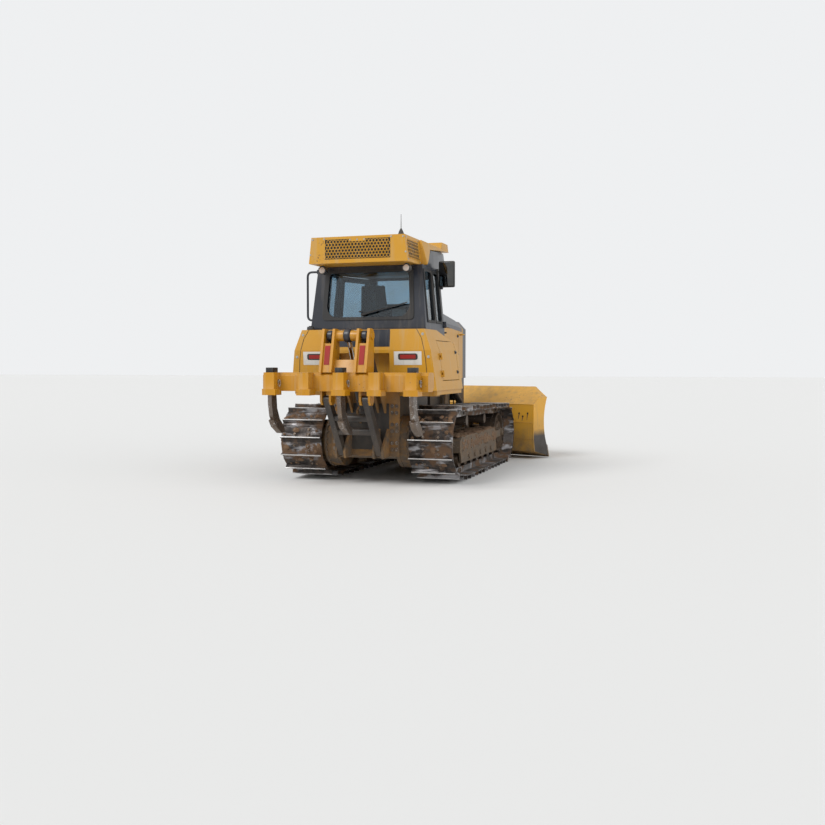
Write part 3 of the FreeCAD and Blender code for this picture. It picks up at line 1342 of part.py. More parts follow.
def build():
    """All the nodes by name."""
    lift_barrels, lift_rods = lift_cylinders()
    angle_barrel_left, angle_rod_left = angle_cylinder_pair(1)
    angle_barrel_right, angle_rod_right = angle_cylinder_pair(-1)
    tilt_barrel, tilt_rod = tilt_cylinder_parts()
    ripper_barrel, ripper_rod = ripper_cylinder_parts()
    left_track = track()
    left_side_door = side_door()
    left_engine_door = engine_door()
    left_cab_door = cab_door()
    left_door_glass = cab_door_glass()
    return {
        "main_frame": main_frame(),
        "drive_case": drive_case(),
        "final_drives": both_sides(final_drive()),
        "engine_block": engine_block(),
        "track_left": left_track,
        "track_right": mirrored(left_track),
        "sprockets": both_sides(sprocket()),
        "idlers": both_sides(idler()),
        "track_frames": both_sides(track_frame()),
        "track_rollers": both_sides(track_rollers()),
        "carrier_rollers": both_sides(carrier_rollers()),
        "rear_body": rear_body(),
        "hood": hood(),
        "radiator_guard": radiator_guard(),
        "exhaust_stack": exhaust_stack(),
        "cab_shell": cab_shell(),
        "cab_glass": cab_glass(),
        "roof_cap": roof_cap(),
        "air_conditioner": air_conditioner(),
        "seat_cushion": seat_cushion(),
        "seat_base": seat_base(),
        "controls": controls(),
        "work_lamps": work_lamps(),
        "mirror_right": mirror_right(),
        "grab_rail": grab_rail(),
        "antenna": antenna(),
        "ripper_frame": ripper_frame(),
        "side_door_left": left_side_door,
        "side_door_right": mirrored(left_side_door),
        "engine_door_left": left_engine_door,
        "engine_door_right": mirrored(left_engine_door),
        "cab_door_left": left_cab_door,
        "door_glass_left": left_door_glass,
        "cab_door_right": mirrored(left_cab_door),
        "door_glass_right": mirrored(left_door_glass),
        "c_frame": c_frame(),
        "blade_yoke": blade_yoke(),
        "blade": blade(),
        "cutting_edge": cutting_edge(),
        "lift_barrels": lift_barrels,
        "lift_rods": lift_rods,
        "angle_barrel_left": angle_barrel_left,
        "angle_rod_left": angle_rod_left,
        "angle_barrel_right": angle_barrel_right,
        "angle_rod_right": angle_rod_right,
        "tilt_barrel": tilt_barrel,
        "tilt_rod": tilt_rod,
        "ripper_lower_links": ripper_lower_links(),
        "ripper_upper_links": ripper_upper_links(),
        "ripper_beam": ripper_beam(),
        "ripper_shanks": ripper_shanks(),
        "ripper_barrel": ripper_barrel,
        "ripper_rod": ripper_rod,
    }


nodes = build()
os.makedirs("parts", exist_ok=True)
for name, shape in nodes.items():
    shape.exportStep("parts/" + name + ".step")
    print(name, len(shape.Solids), shape.isValid(), round(shape.Volume / 1e9, 4))
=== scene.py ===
import json
import math
import random

import bmesh
import bpy
from mathutils import Matrix, Vector

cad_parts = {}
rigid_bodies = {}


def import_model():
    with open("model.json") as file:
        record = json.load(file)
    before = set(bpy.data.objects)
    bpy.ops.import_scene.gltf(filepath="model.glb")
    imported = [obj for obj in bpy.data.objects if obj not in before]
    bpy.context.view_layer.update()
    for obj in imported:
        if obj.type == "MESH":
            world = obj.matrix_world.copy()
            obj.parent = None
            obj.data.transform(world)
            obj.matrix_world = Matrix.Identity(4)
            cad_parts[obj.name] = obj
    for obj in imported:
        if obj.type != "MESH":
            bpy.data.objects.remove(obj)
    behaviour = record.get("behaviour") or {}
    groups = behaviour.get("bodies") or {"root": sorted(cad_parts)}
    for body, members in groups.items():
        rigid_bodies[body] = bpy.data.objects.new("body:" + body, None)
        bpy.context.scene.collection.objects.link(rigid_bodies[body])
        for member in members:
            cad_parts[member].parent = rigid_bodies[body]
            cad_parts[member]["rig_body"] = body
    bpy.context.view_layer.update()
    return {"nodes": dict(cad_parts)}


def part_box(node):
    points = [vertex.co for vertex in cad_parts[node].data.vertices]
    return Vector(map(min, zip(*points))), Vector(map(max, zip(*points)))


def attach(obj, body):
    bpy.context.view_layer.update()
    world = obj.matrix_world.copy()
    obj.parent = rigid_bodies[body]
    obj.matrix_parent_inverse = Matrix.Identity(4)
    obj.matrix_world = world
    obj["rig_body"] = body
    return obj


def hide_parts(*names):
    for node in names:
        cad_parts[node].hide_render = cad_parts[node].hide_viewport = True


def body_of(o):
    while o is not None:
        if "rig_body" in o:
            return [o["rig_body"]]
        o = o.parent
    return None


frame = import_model()

# Camera: stands 14 m behind the machine on its right and looks forward, slightly down, at the
# photograph's angle. The lens takes in the whole machine.
camera_place = Vector((-14.08, -4.59, 1.62))
camera_heading = math.atan2(0.30686, 0.95176)
camera_pitch = math.radians(2.86)
camera_data = bpy.data.cameras.new("camera")
camera_data.lens = 41.45
camera_data.sensor_width = 36.0
camera_data.clip_end = 200.0
camera = bpy.data.objects.new("camera", camera_data)
bpy.context.scene.collection.objects.link(camera)
camera.location = camera_place
camera.rotation_euler = (math.pi / 2 - camera_pitch, 0, camera_heading - math.pi / 2)
bpy.context.scene.camera = camera
bpy.context.scene.view_settings.view_transform = "Standard"

# Studio: a pale plain floor under the tracks that keeps the machine's shadow, a pale surround,
# one broad soft lamp behind the camera's left shoulder and a weak one from the other side.
floor_span = 240.0
floor_colour = (0.80, 0.80, 0.79, 1)
seen_floor = (0.86, 0.86, 0.85, 1)
surround_colour = (0.86, 0.87, 0.88, 1)
surround_light = 0.54
key_strength = 1.8
fill_strength = 0.85

floor_mesh = bmesh.new()
bmesh.ops.create_grid(floor_mesh, x_segments=1, y_segments=1, size=floor_span / 2)
floor_data = bpy.data.meshes.new("floor")
floor_mesh.to_mesh(floor_data)
floor_mesh.free()
floor = bpy.data.objects.new("floor", floor_data)
bpy.context.scene.collection.objects.link(floor)
floor_paint = bpy.data.materials.new("floor_paint")
floor_paint.use_nodes = True
floor_paint.node_tree.nodes["Principled BSDF"].inputs["Base Color"].default_value = floor_colour
floor_paint.node_tree.nodes["Principled BSDF"].inputs["Roughness"].default_value = 0.9
floor_data.materials.append(floor_paint)

world = bpy.data.worlds.new("surround")
bpy.context.scene.world = world
world.use_nodes = True
sky = world.node_tree.nodes["Background"]
sky.inputs["Color"].default_value = surround_colour
sky.inputs["Strength"].default_value = surround_light
seen_sky = world.node_tree.nodes.new("ShaderNodeBackground")
seen_sky.inputs["Color"].default_value = surround_colour
seen_sky.inputs["Strength"].default_value = 1.0
ray = world.node_tree.nodes.new("ShaderNodeLightPath")
seen = world.node_tree.nodes.new("ShaderNodeMath")
seen.operation = "MAXIMUM"
clear = world.node_tree.nodes.new("ShaderNodeMath")
clear.operation = "MAXIMUM"
sky_mix = world.node_tree.nodes.new("ShaderNodeMixShader")
world.node_tree.links.new(ray.outputs["Is Camera Ray"], seen.inputs[0])
world.node_tree.links.new(ray.outputs["Is Glossy Ray"], seen.inputs[1])
world.node_tree.links.new(seen.outputs[0], clear.inputs[0])
world.node_tree.links.new(ray.outputs["Is Transmission Ray"], clear.inputs[1])
world.node_tree.links.new(clear.outputs[0], sky_mix.inputs["Fac"])
world.node_tree.links.new(sky.outputs[0], sky_mix.inputs[1])
world.node_tree.links.new(seen_sky.outputs[0], sky_mix.inputs[2])
world.node_tree.links.new(sky_mix.outputs[0], world.node_tree.nodes["World Output"].inputs[0])

for lamp_name, strength, spread, aim in (
        ("key", key_strength, 28, (0.62, -0.38, -0.69)),
        ("fill", fill_strength, 60, (0.35, 0.75, -0.56))):
    lamp_data = bpy.data.lights.new(lamp_name, "SUN")
    lamp_data.energy = strength
    lamp_data.angle = math.radians(spread)
    lamp = bpy.data.objects.new(lamp_name, lamp_data)
    bpy.context.scene.collection.objects.link(lamp)
    lamp.rotation_euler = Vector(aim).to_track_quat("-Z", "Y").to_euler()


# Yellow enamel on pressed and welded steel: the body panels, hood, doors, roof, frames and the
# blade. It is chalky from the sun, dusty on flat tops, streaked by rain and chipped at edges.
def add_node(tree, kind, inputs=(), **settings):
    """Adds a shader node, with its settings, values and links from other nodes."""
    made = tree.nodes.new(kind)
    for key, value in settings.items():
        setattr(made, key, value)
    for key, value in dict(inputs).items():
        if isinstance(value, bpy.types.NodeSocket):
            tree.links.new(value, made.inputs[key])
        else:
            made.inputs[key].default_value = value
    return made


def noise(tree, scale, detail, stretch=(1, 1, 1)):
    """Cloudy pattern in the object's own metres, stretched along its axes."""
    place = add_node(tree, "ShaderNodeTexCoord").outputs["Object"]
    mapping = add_node(tree, "ShaderNodeMapping", {"Vector": place, "Scale": stretch})
    cloud = add_node(tree, "ShaderNodeTexNoise",
                     {"Vector": mapping.outputs[0], "Scale": scale, "Detail": detail, "Roughness": 0.6})
    return cloud.outputs["Fac"]


def ramp(tree, value, low, high):
    """Turns a value into a mask that runs from 0 at low to 1 at high."""
    spread = add_node(tree, "ShaderNodeMapRange", {"Value": value, "From Min": low, "From Max": high})
    return spread.outputs[0]


def maths(tree, how, a, b):
    return add_node(tree, "ShaderNodeMath", {0: a, 1: b}, operation=how).outputs[0]


def blend(tree, mask, a, b):
    """Mixes two colours by a mask."""
    mix = add_node(tree, "ShaderNodeMix", {0: mask, 6: a, 7: b}, data_type="RGBA")
    return mix.outputs[2]


def weathered(name, colour, faded, dust, dust_top, dust_below, dust_share, chip, chip_edge,
              roughness, metallic=0.0, bump=0.15):
    """Paint or steel that fades in clouds, is streaked, gathers dust low down and on top, and chips."""
    made = bpy.data.materials.new(name)
    made.use_nodes = True
    tree = made.node_tree
    shader = tree.nodes["Principled BSDF"]
    fading = ramp(tree, noise(tree, 1.7, 6), 0.35, 0.7)
    tone = blend(tree, fading, colour, faded)
    streak = ramp(tree, noise(tree, 5.0, 4, (2.2, 2.2, 0.22)), 0.52, 0.72)
    streaked = blend(tree, maths(tree, "MULTIPLY", streak, 0.35), tone, dust)
    height = add_node(tree, "ShaderNodeSeparateXYZ",
                      {0: add_node(tree, "ShaderNodeTexCoord").outputs["Object"]}).outputs["Z"]
    low = ramp(tree, height, dust_top, dust_below)
    up = add_node(tree, "ShaderNodeSeparateXYZ",
                  {0: add_node(tree, "ShaderNodeNewGeometry").outputs["Normal"]}).outputs["Z"]
    flat = maths(tree, "MULTIPLY", ramp(tree, up, 0.5, 1.0), 0.45)
    settled = maths(tree, "MAXIMUM", low, flat)
    cloud = ramp(tree, noise(tree, 7.0, 8), 0.30, 0.72)
    dusty = maths(tree, "MULTIPLY", maths(tree, "MULTIPLY", settled, dust_share),
                  maths(tree, "ADD", cloud, 0.35))
    dusted = blend(tree, maths(tree, "MINIMUM", dusty, 1.0), streaked, dust)
    fine = noise(tree, 38.0, 5)
    coarse = noise(tree, 3.1, 3)
    chips = ramp(tree, maths(tree, "ADD", fine, maths(tree, "MULTIPLY", coarse, 0.5)),
                 chip_edge, chip_edge + 0.03)
    worn = blend(tree, chips, dusted, chip)
    tree.links.new(worn, shader.inputs["Base Color"])
    rough = add_node(tree, "ShaderNodeMapRange",
                     {"Value": dusty, "To Min": roughness, "To Max": 0.92}).outputs[0]
    tree.links.new(rough, shader.inputs["Roughness"])
    shader.inputs["Metallic"].default_value = metallic
    relief = add_node(tree, "ShaderNodeBump", {"Height": fine, "Strength": bump, "Distance": 0.004})
    tree.links.new(relief.outputs[0], shader.inputs["Normal"])
    return made


earth = (0.30, 0.20, 0.11, 1)
pale_dust = (0.46, 0.36, 0.22, 1)
rust = (0.16, 0.075, 0.035, 1)
yellow_paint = weathered("yellow_paint", (0.58, 0.280, 0.014, 1), (0.56, 0.290, 0.032, 1), pale_dust,
                         1.5, 0.2, 0.50, rust, 0.95, 0.40)
fresh_paint = weathered("fresh_paint", (0.52, 0.230, 0.002, 1), (0.50, 0.225, 0.004, 1), pale_dust,
                        1.2, 0.2, 0.30, rust, 0.93, 0.36)
# The blade's copy of the yellow is painted lighter all over, as painted sunlight on the blade's back; below 0.75 m it
# is blended darker brown towards its foot.
sunlit_blade_paint = weathered("sunlit_blade_paint", (0.76, 0.385, 0.030, 1), (0.72, 0.385, 0.055, 1),
                        (0.20, 0.15, 0.10, 1), 0.75, 0.0, 0.95, rust, 0.93, 0.42)
end_wear_top, end_wear_full = 0.52, 0.40
scoured_steel = (0.055, 0.046, 0.040, 1)
tree = sunlit_blade_paint.node_tree
shader = next(node for node in tree.nodes if node.type == "BSDF_PRINCIPLED")
painted = shader.inputs["Base Color"].links[0].from_socket
height = add_node(tree, "ShaderNodeSeparateXYZ",
                  {0: add_node(tree, "ShaderNodeTexCoord").outputs["Object"]}).outputs["Z"]
facing = add_node(tree, "ShaderNodeSeparateXYZ",
                  {0: add_node(tree, "ShaderNodeNewGeometry").outputs["Normal"]}).outputs["Y"]
ends = ramp(tree, maths(tree, "ABSOLUTE", facing, 0.0), 0.80, 0.88)
scoured = maths(tree, "MULTIPLY", ends, ramp(tree, height, end_wear_top, end_wear_full))
tree.links.new(blend(tree, scoured, painted, scoured_steel), shader.inputs["Base Color"])
for node in ("rear_body", "hood", "side_door_left", "side_door_right", "engine_door_left",
             "engine_door_right", "air_conditioner", "blade_yoke"):
    frame["nodes"][node].data.materials[0] = yellow_paint
frame["nodes"]["blade"].data.materials[0] = sunlit_blade_paint

# Lower frames and final drives: the same yellow, under a coat of dried earth from the tracks.
# They are thick castings and plates, welded and bolted under the body.
earthy_paint = weathered("earthy_paint", (0.42, 0.185, 0.014, 1), (0.28, 0.14, 0.028, 1),
                         (0.11, 0.085, 0.062, 1), 1.7, 0.7, 0.95, rust, 0.90, 0.55, bump=0.5)
for node in ("final_drives", "c_frame", "ripper_frame"):
    frame["nodes"][node].data.materials[0] = earthy_paint

# Belly and track frames: the same paint, darkened all over as painted shade for the shadow between the tracks,
# under a thicker coat of grey-brown earth that dried on. Welded box beams and castings, the lowest parts of the
# machine.
caked_and_shaded_paint = weathered("caked_and_shaded_paint", (0.20, 0.105, 0.030, 1), (0.16, 0.105, 0.060, 1),
                        (0.135, 0.105, 0.078, 1), 1.9, 0.9, 1.0, (0.24, 0.20, 0.16, 1), 0.93,
                        0.75, bump=0.8)
for node in ("track_frames", "drive_case", "main_frame"):
    frame["nodes"][node].data.materials[0] = caked_and_shaded_paint

# Cab shell, doors, guards and pipes: dark slate enamel, satin, with a film of dust.
# The shell is folded and welded sheet on four posts.
slate_paint = weathered("slate_paint", (0.013, 0.016, 0.024, 1), (0.024, 0.028, 0.040, 1),
                        (0.15, 0.13, 0.11, 1), 1.6, 0.3, 0.45, (0.10, 0.08, 0.07, 1), 0.95, 0.33)
for node in ("cab_shell", "cab_door_left", "cab_door_right", "radiator_guard", "exhaust_stack",
             "grab_rail", "ripper_upper_links"):
    frame["nodes"][node].data.materials[0] = slate_paint

# Tracks and wheels: forged steel links, shoes and rollers, dark with packed earth in the corners
# and bare where they rub.
track_steel = weathered("track_steel", (0.045, 0.040, 0.038, 1), (0.085, 0.070, 0.058, 1),
                        (0.15, 0.095, 0.055, 1), 1.5, 0.0, 0.75, (0.30, 0.28, 0.26, 1), 0.88, 0.42,
                        metallic=0.6, bump=0.6)
for node in ("track_left", "track_right", "sprockets", "idlers", "track_rollers", "carrier_rollers"):
    frame["nodes"][node].data.materials[0] = track_steel

# Ripper shanks and cutting edge: hard steel polished by the soil, browned where it doesn't rub.
worn_steel = weathered("worn_steel", (0.20, 0.17, 0.15, 1), (0.11, 0.085, 0.07, 1), earth,
                       1.2, 0.0, 0.5, (0.42, 0.40, 0.38, 1), 0.86, 0.36, metallic=0.8, bump=0.4)
for node in ("ripper_shanks", "cutting_edge"):
    frame["nodes"][node].data.materials[0] = worn_steel

# Cylinder barrels: dark enamel over steel tube, dusty, with oil-darkened glands.
barrel_paint = weathered("barrel_paint", (0.016, 0.016, 0.018, 1), (0.030, 0.029, 0.028, 1),
                         (0.15, 0.11, 0.075, 1), 1.5, 0.2, 0.5, (0.14, 0.11, 0.09, 1), 0.92, 0.32)
for node in ("lift_barrels", "angle_barrel_left", "angle_barrel_right", "tilt_barrel",
             "ripper_barrel", "engine_block", "ripper_lower_links"):
    frame["nodes"][node].data.materials[0] = barrel_paint

# Cylinder rods: hard chrome on ground steel, bright, with a light film of dust.
chrome = weathered("chrome", (0.62, 0.63, 0.65, 1), (0.55, 0.55, 0.55, 1), (0.35, 0.30, 0.24, 1),
                   1.2, 0.3, 0.35, (0.30, 0.27, 0.24, 1), 0.97, 0.14, metallic=1.0, bump=0.02)
for node in ("lift_rods", "angle_rod_left", "angle_rod_right", "tilt_rod", "ripper_rod"):
    frame["nodes"][node].data.materials[0] = chrome

# Moulded plastic and rubber: mirror, antenna, seat base, levers and trim, matt black.
black_plastic = weathered("black_plastic", (0.020, 0.020, 0.021, 1), (0.035, 0.034, 0.033, 1),
                          (0.16, 0.13, 0.10, 1), 1.6, 0.3, 0.5, (0.06, 0.055, 0.05, 1), 0.97, 0.55)
for node in ("mirror_right", "antenna", "seat_base", "controls"):
    frame["nodes"][node].data.materials[0] = black_plastic

# Cab glass: tinted safety panes bonded or set in rubber, with a cloudy dusty film.
glass = bpy.data.materials.new("glass")
glass.use_nodes = True
pane = glass.node_tree.nodes["Principled BSDF"]
pane.inputs["Transmission Weight"].default_value = 1.0
pane.inputs["IOR"].default_value = 1.52
pane.inputs["Roughness"].default_value = 0.02
film = ramp(glass.node_tree, noise(glass.node_tree, 2.6, 6), 0.45, 0.85)
tint = blend(glass.node_tree, film, (0.40, 0.53, 0.62, 1), (0.40, 0.46, 0.47, 1))
glass.node_tree.links.new(tint, pane.inputs["Base Color"])
for node in ("cab_glass", "door_glass_left", "door_glass_right"):
    frame["nodes"][node].data.materials[0] = glass

# Work lamps: black housings behind a clear lens.
lamp_finish = weathered("lamp_finish", (0.030, 0.030, 0.032, 1), (0.05, 0.05, 0.05, 1),
                        (0.20, 0.17, 0.13, 1), 1.6, 0.3, 0.5, (0.07, 0.07, 0.07, 1), 0.97, 0.4)
frame["nodes"]["work_lamps"].data.materials[0] = lamp_finish


# Roof: one yellow moulded shell over the cab, thin at the front under a visor box and deeper
# behind, where its lower edge runs down to the air conditioner. It is bolted to the cab.
def put(mesh, name, material, body, smooth=0.0):
    """Makes a piece of a finished bmesh, gives it its finish and hangs it on a CAD body."""
    data = bpy.data.meshes.new(name)
    mesh.to_mesh(data)
    mesh.free()
    if smooth:
        data.shade_smooth()
        data.set_sharp_from_angle(angle=math.radians(smooth))
    data.materials.append(material)
    piece = bpy.data.objects.new(name, data)
    bpy.context.scene.collection.objects.link(piece)
    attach(piece, body)
    return piece


def slab(mesh, low, high):
    """Adds a box between two corners to a bmesh and returns its vertices."""
    low = Vector(low)
    high = Vector(high)
    place = Matrix.Translation((low + high) / 2) @ Matrix.Diagonal((*(high - low), 1))
    return bmesh.ops.create_cube(mesh, size=1, matrix=place)["verts"]


def prism(mesh, outline, way):
    """Adds a prism to a bmesh: a closed outline pushed along a way."""
    corners = [mesh.verts.new(point) for point in outline]
    face = mesh.faces.new(corners)
    pushed = bmesh.ops.extrude_face_region(mesh, geom=[face])
    moved = [part for part in pushed["geom"] if isinstance(part, bmesh.types.BMVert)]
    bmesh.ops.translate(mesh, verts=moved, vec=way)
    made = corners + moved
    bmesh.ops.recalc_face_normals(mesh, faces=list({face for vert in made for face in vert.link_faces}))
    return made


def soften(mesh, width, segments=2, sharpest=30):
    """Rounds the sharp edges of a bmesh."""
    edges = [edge for edge in mesh.edges if len(edge.link_faces) == 2
             and math.degrees(edge.calc_face_angle(0)) > sharpest]
    bmesh.ops.bevel(mesh, geom=edges, offset=width, affect="EDGES", segments=segments, profile=0.5,
                    material=-1, clamp_overlap=True)


roof_low, roof_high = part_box("roof_cap")
ac_low, ac_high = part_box("air_conditioner")
roof_deck_z = ac_high[2]
roof_side_y = roof_high[1]
roof_edge = ((roof_low[0], 2.985), (-1.50, 3.06), (-1.28, 3.225), (-0.55, 3.29), (roof_high[0], 3.30))
roof_shell = bmesh.new()
prism(roof_shell, [(x, roof_side_y, z) for x, z in roof_edge]
      + [(roof_high[0], roof_side_y, roof_deck_z - 0.012), (roof_low[0], roof_side_y, roof_deck_z - 0.004)],
      (0, -2 * roof_side_y, 0))
for vert in roof_shell.verts:
    vert.co.y *= 1 - 0.12 * max(0.0, vert.co.z - 3.0) / 0.33
prism(roof_shell, [(-0.66, 0.70, roof_deck_z - 0.02), (-0.60, 0.70, roof_high[2]), (-0.30, 0.70, roof_high[2]),
                   (-0.26, 0.70, roof_deck_z - 0.02)], (0, -1.40, 0))
soften(roof_shell, 0.018, 3)
roof = put(roof_shell, "roof_shell", yellow_paint, "root", 35)
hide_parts("roof_cap")

# Cab crown: the dark upper rails of the cab between the window heads and the roof's lower edge.
# It is folded sheet welded to the posts, set in a little from the roof's side.
crown_mesh = bmesh.new()
crown_outline = [(-1.60, 2.975), (-0.262, 2.975), (-0.30, 3.28), (-0.56, 3.275), (-1.28, 3.215), (-1.50, 3.05)]
prism(crown_mesh, [(x, 0.765, z) for x, z in crown_outline], (0, -1.53, 0))
for vert in crown_mesh.verts:
    narrow = 0.765 - 0.04 * (vert.co.z - 2.975) / 0.3
    front = max(0.0, (vert.co.x + 0.95) / 0.7)
    vert.co.y = math.copysign(narrow - 0.10 * front, vert.co.y)
soften(crown_mesh, 0.008, 2)
put(crown_mesh, "cab_crown", slate_paint, "root", 35)

# Condenser screens: perforated sheet with six-sided holes on the rear and both sides of the
# air conditioner, yellow like the box, over black foam. Zinc screws hold them.
def hex_screen(mesh, wide, tall, pitch, bar, thick):
    """Adds a perforated sheet in the YZ plane round the origin, with staggered six-sided holes."""
    radius = pitch / math.sqrt(3)
    rows = int(tall / (1.5 * radius))
    columns = int(wide / pitch)
    for row in range(rows):
        for column in range(columns - row % 2):
            y = (column - (columns - 1) / 2 + 0.5 * (row % 2)) * pitch
            z = (row - (rows - 1) / 2) * 1.5 * radius
            cell = Matrix.Translation((0, y, z)) @ Matrix.Rotation(math.pi / 2, 4, "Y")
            bmesh.ops.create_circle(mesh, cap_ends=True, segments=6, radius=radius, matrix=cell)
    bmesh.ops.remove_doubles(mesh, verts=mesh.verts, dist=pitch * 0.05)
    bmesh.ops.recalc_face_normals(mesh, faces=mesh.faces)
    cells = list(mesh.faces)
    bmesh.ops.inset_individual(mesh, faces=cells, thickness=bar / 2, use_even_offset=True)
    bmesh.ops.delete(mesh, geom=cells, context="FACES_ONLY")
    bmesh.ops.solidify(mesh, geom=list(mesh.faces), thickness=thick)


screen_tall = 0.262
screen_mid_z = 3.163
screen_sheet = bmesh.new()
hex_screen(screen_sheet, 0.925, screen_tall, 0.046, 0.013, 0.003)
bmesh.ops.translate(screen_sheet, verts=screen_sheet.verts, vec=(ac_low[0] - 0.001, 0, screen_mid_z))
slab(screen_sheet, (ac_low[0] - 0.005, -0.115, 3.262), (ac_low[0] + 0.001, 0.115, 3.297))
for side in (1, -1):
    sheet = bmesh.new()
    hex_screen(sheet, 0.50, 0.27, 0.050, 0.013, 0.003)
    lean = math.atan2(0.04, 0.35)
    turn = Matrix.Rotation(side * math.pi / 2, 4, "Z") @ Matrix.Rotation(-lean, 4, "Y")
    bmesh.ops.transform(sheet, matrix=Matrix.Translation((-1.915, side * 0.682, 3.155)) @ turn, verts=sheet.verts)
    flank = bpy.data.meshes.new("flank")
    sheet.to_mesh(flank)
    sheet.free()
    screen_sheet.from_mesh(flank)
put(screen_sheet, "condenser_screens", yellow_paint, "root")

foam_and_hole_shade = weathered("screen_foam", (0.012, 0.011, 0.010, 1), (0.02, 0.018, 0.016, 1), (0.05, 0.04, 0.03, 1),
                 1.0, 0.0, 0.4, (0.03, 0.025, 0.02, 1), 0.97, 0.9)
backing = bmesh.new()
slab(backing, (ac_low[0] + 0.001, -0.43, 3.042), (ac_low[0] + 0.0075, 0.43, 3.284))
slab(backing, (ac_low[0] - 0.0006, -0.463, 3.032), (ac_low[0] - 0.0002, 0.463, 3.294))
for side in (1, -1):
    foot = side * 0.6932
    head = side * 0.6679
    prism(backing, [(-2.145, foot, 3.045), (-1.685, foot, 3.045), (-1.685, head, 3.268), (-2.145, head, 3.268)],
          (0, side * 0.0008, 0))
put(backing, "screen_foam", foam_and_hole_shade, "root")


# Screws and bolts: zinc-plated six-sided heads on thin washers. They hold the condenser box,
# the side panels and the covers.
def bolt(mesh, place, way, radius=0.012, tall=0.008):
    """Adds a washer and a six-sided head that stand on a surface, to a bmesh."""
    turn = Vector(way).to_track_quat("Z", "Y").to_matrix().to_4x4()
    spot = Matrix.Translation(place) @ turn
    for sides, r, z0, z1 in ((14, radius * 1.45, -0.001, 0.0025), (6, radius, 0.002, tall)):
        bmesh.ops.create_cone(mesh, cap_ends=True, segments=sides, radius1=r, radius2=r * 0.94, depth=z1 - z0,
                              matrix=spot @ Matrix.Translation((0, 0, (z0 + z1) / 2)))


zinc = weathered("zinc", (0.50, 0.50, 0.48, 1), (0.40, 0.39, 0.36, 1), (0.30, 0.25, 0.18, 1),
                 1.5, 0.4, 0.5, rust, 0.92, 0.35, metallic=0.85)
screws = bmesh.new()
for y in (-0.10, 0.0, 0.10):
    bolt(screws, (ac_low[0] - 0.005, y, 3.283), (-1, 0, 0), 0.008, 0.007)
for y, z in ((0.640, 3.300), (0.475, 3.305), (-0.475, 3.305), (-0.640, 3.300), (0.675, 3.10), (-0.675, 3.10)):
    bolt(screws, (ac_low[0], y, z), (-1, 0, 0), 0.009, 0.007)
for side in (1, -1):
    for x in (-2.18, -1.66):
        for z in (3.01, 3.30):
            bolt(screws, (x, side * (0.70 - 0.04 * (z - 2.98) / 0.35), z), (0, side, 0.11), 0.009, 0.007)
put(screws, "condenser_screws", zinc, "root")


# Window seals: black rubber sections pressed round each pane, wider at the rear window's lower
# corners, where the pane is rounded.
def rounded_loop(mesh, corners, place):
    """Adds a closed loop of edges with round corners; corners are (across, up, radius) in order."""
    steps = 6
    verts = []
    count = len(corners)
    for index in range(count):
        corner = Vector(corners[index][:2])
        before = (Vector(corners[index - 1][:2]) - corner).normalized()
        after = (Vector(corners[(index + 1) % count][:2]) - corner).normalized()
        half = before.angle(after) / 2
        reach = corners[index][2] / math.tan(half)
        centre = corner + (before + after).normalized() * corners[index][2] / math.sin(half)
        start = corner + before * reach - centre
        turn = math.copysign(math.pi - 2 * half, before.cross(after) * -1)
        for step in range(steps + 1):
            spoke = Matrix.Rotation(turn * step / steps, 2) @ start
            verts.append(mesh.verts.new(place(*(centre + spoke))))
    return [mesh.edges.new((verts[k - 1], verts[k])) for k in range(len(verts))]


def seal(mesh, outer, inner, place, thick, way):
    """Adds a flat rounded frame between two outlines and gives it a thickness along a way."""
    rim = rounded_loop(mesh, outer, place) + rounded_loop(mesh, inner, place)
    faces = bmesh.ops.bridge_loops(mesh, edges=rim)["faces"]
    pushed = bmesh.ops.extrude_face_region(mesh, geom=faces)
    moved = [part for part in pushed["geom"] if isinstance(part, bmesh.types.BMVert)]
    bmesh.ops.translate(mesh, verts=moved, vec=Vector(way) * thick)
    bmesh.ops.recalc_face_normals(mesh, faces=mesh.faces)


def on_rear_wall(y, z):
    """Place on the cab's leaning rear wall."""
    return Vector((-1.861 + 0.106 * (z - 2.13), y, z))


def on_side_wall(side):
    """Place on the cab's leaning side wall, as (x, z)."""
    return lambda x, z: Vector((x, side * (0.839 - 0.0941 * (z - 2.13)), z))


rubber = weathered("rubber", (0.012, 0.012, 0.013, 1), (0.022, 0.021, 0.020, 1), (0.12, 0.10, 0.08, 1),
                   1.6, 0.3, 0.5, (0.03, 0.03, 0.03, 1), 0.97, 0.62)
seals = bmesh.new()
seal(seals, [(-0.668, 2.235, 0.05), (0.668, 2.235, 0.05), (0.640, 2.925, 0.04), (-0.640, 2.925, 0.04)],
     [(-0.612, 2.275, 0.16), (0.612, 2.275, 0.16), (0.575, 2.885, 0.05), (-0.575, 2.885, 0.05)],
     on_rear_wall, 0.012, (-1, 0, 0.1))
for side in (1, -1):
    for x0, x1 in ((-1.735, -1.400), (-1.345, -1.065)):
        seal(seals, [(x0 - 0.022, 2.198, 0.03), (x1 + 0.022, 2.198, 0.03), (x1 + 0.022, 2.927, 0.03),
                     (x0 - 0.022, 2.927, 0.03)],
             [(x0 + 0.012, 2.232, 0.05), (x1 - 0.012, 2.232, 0.05), (x1 - 0.012, 2.893, 0.05),
              (x0 + 0.012, 2.893, 0.05)], on_side_wall(side), 0.009, (0, side, 0.09))
put(seals, "window_seals", rubber, "root", 35)

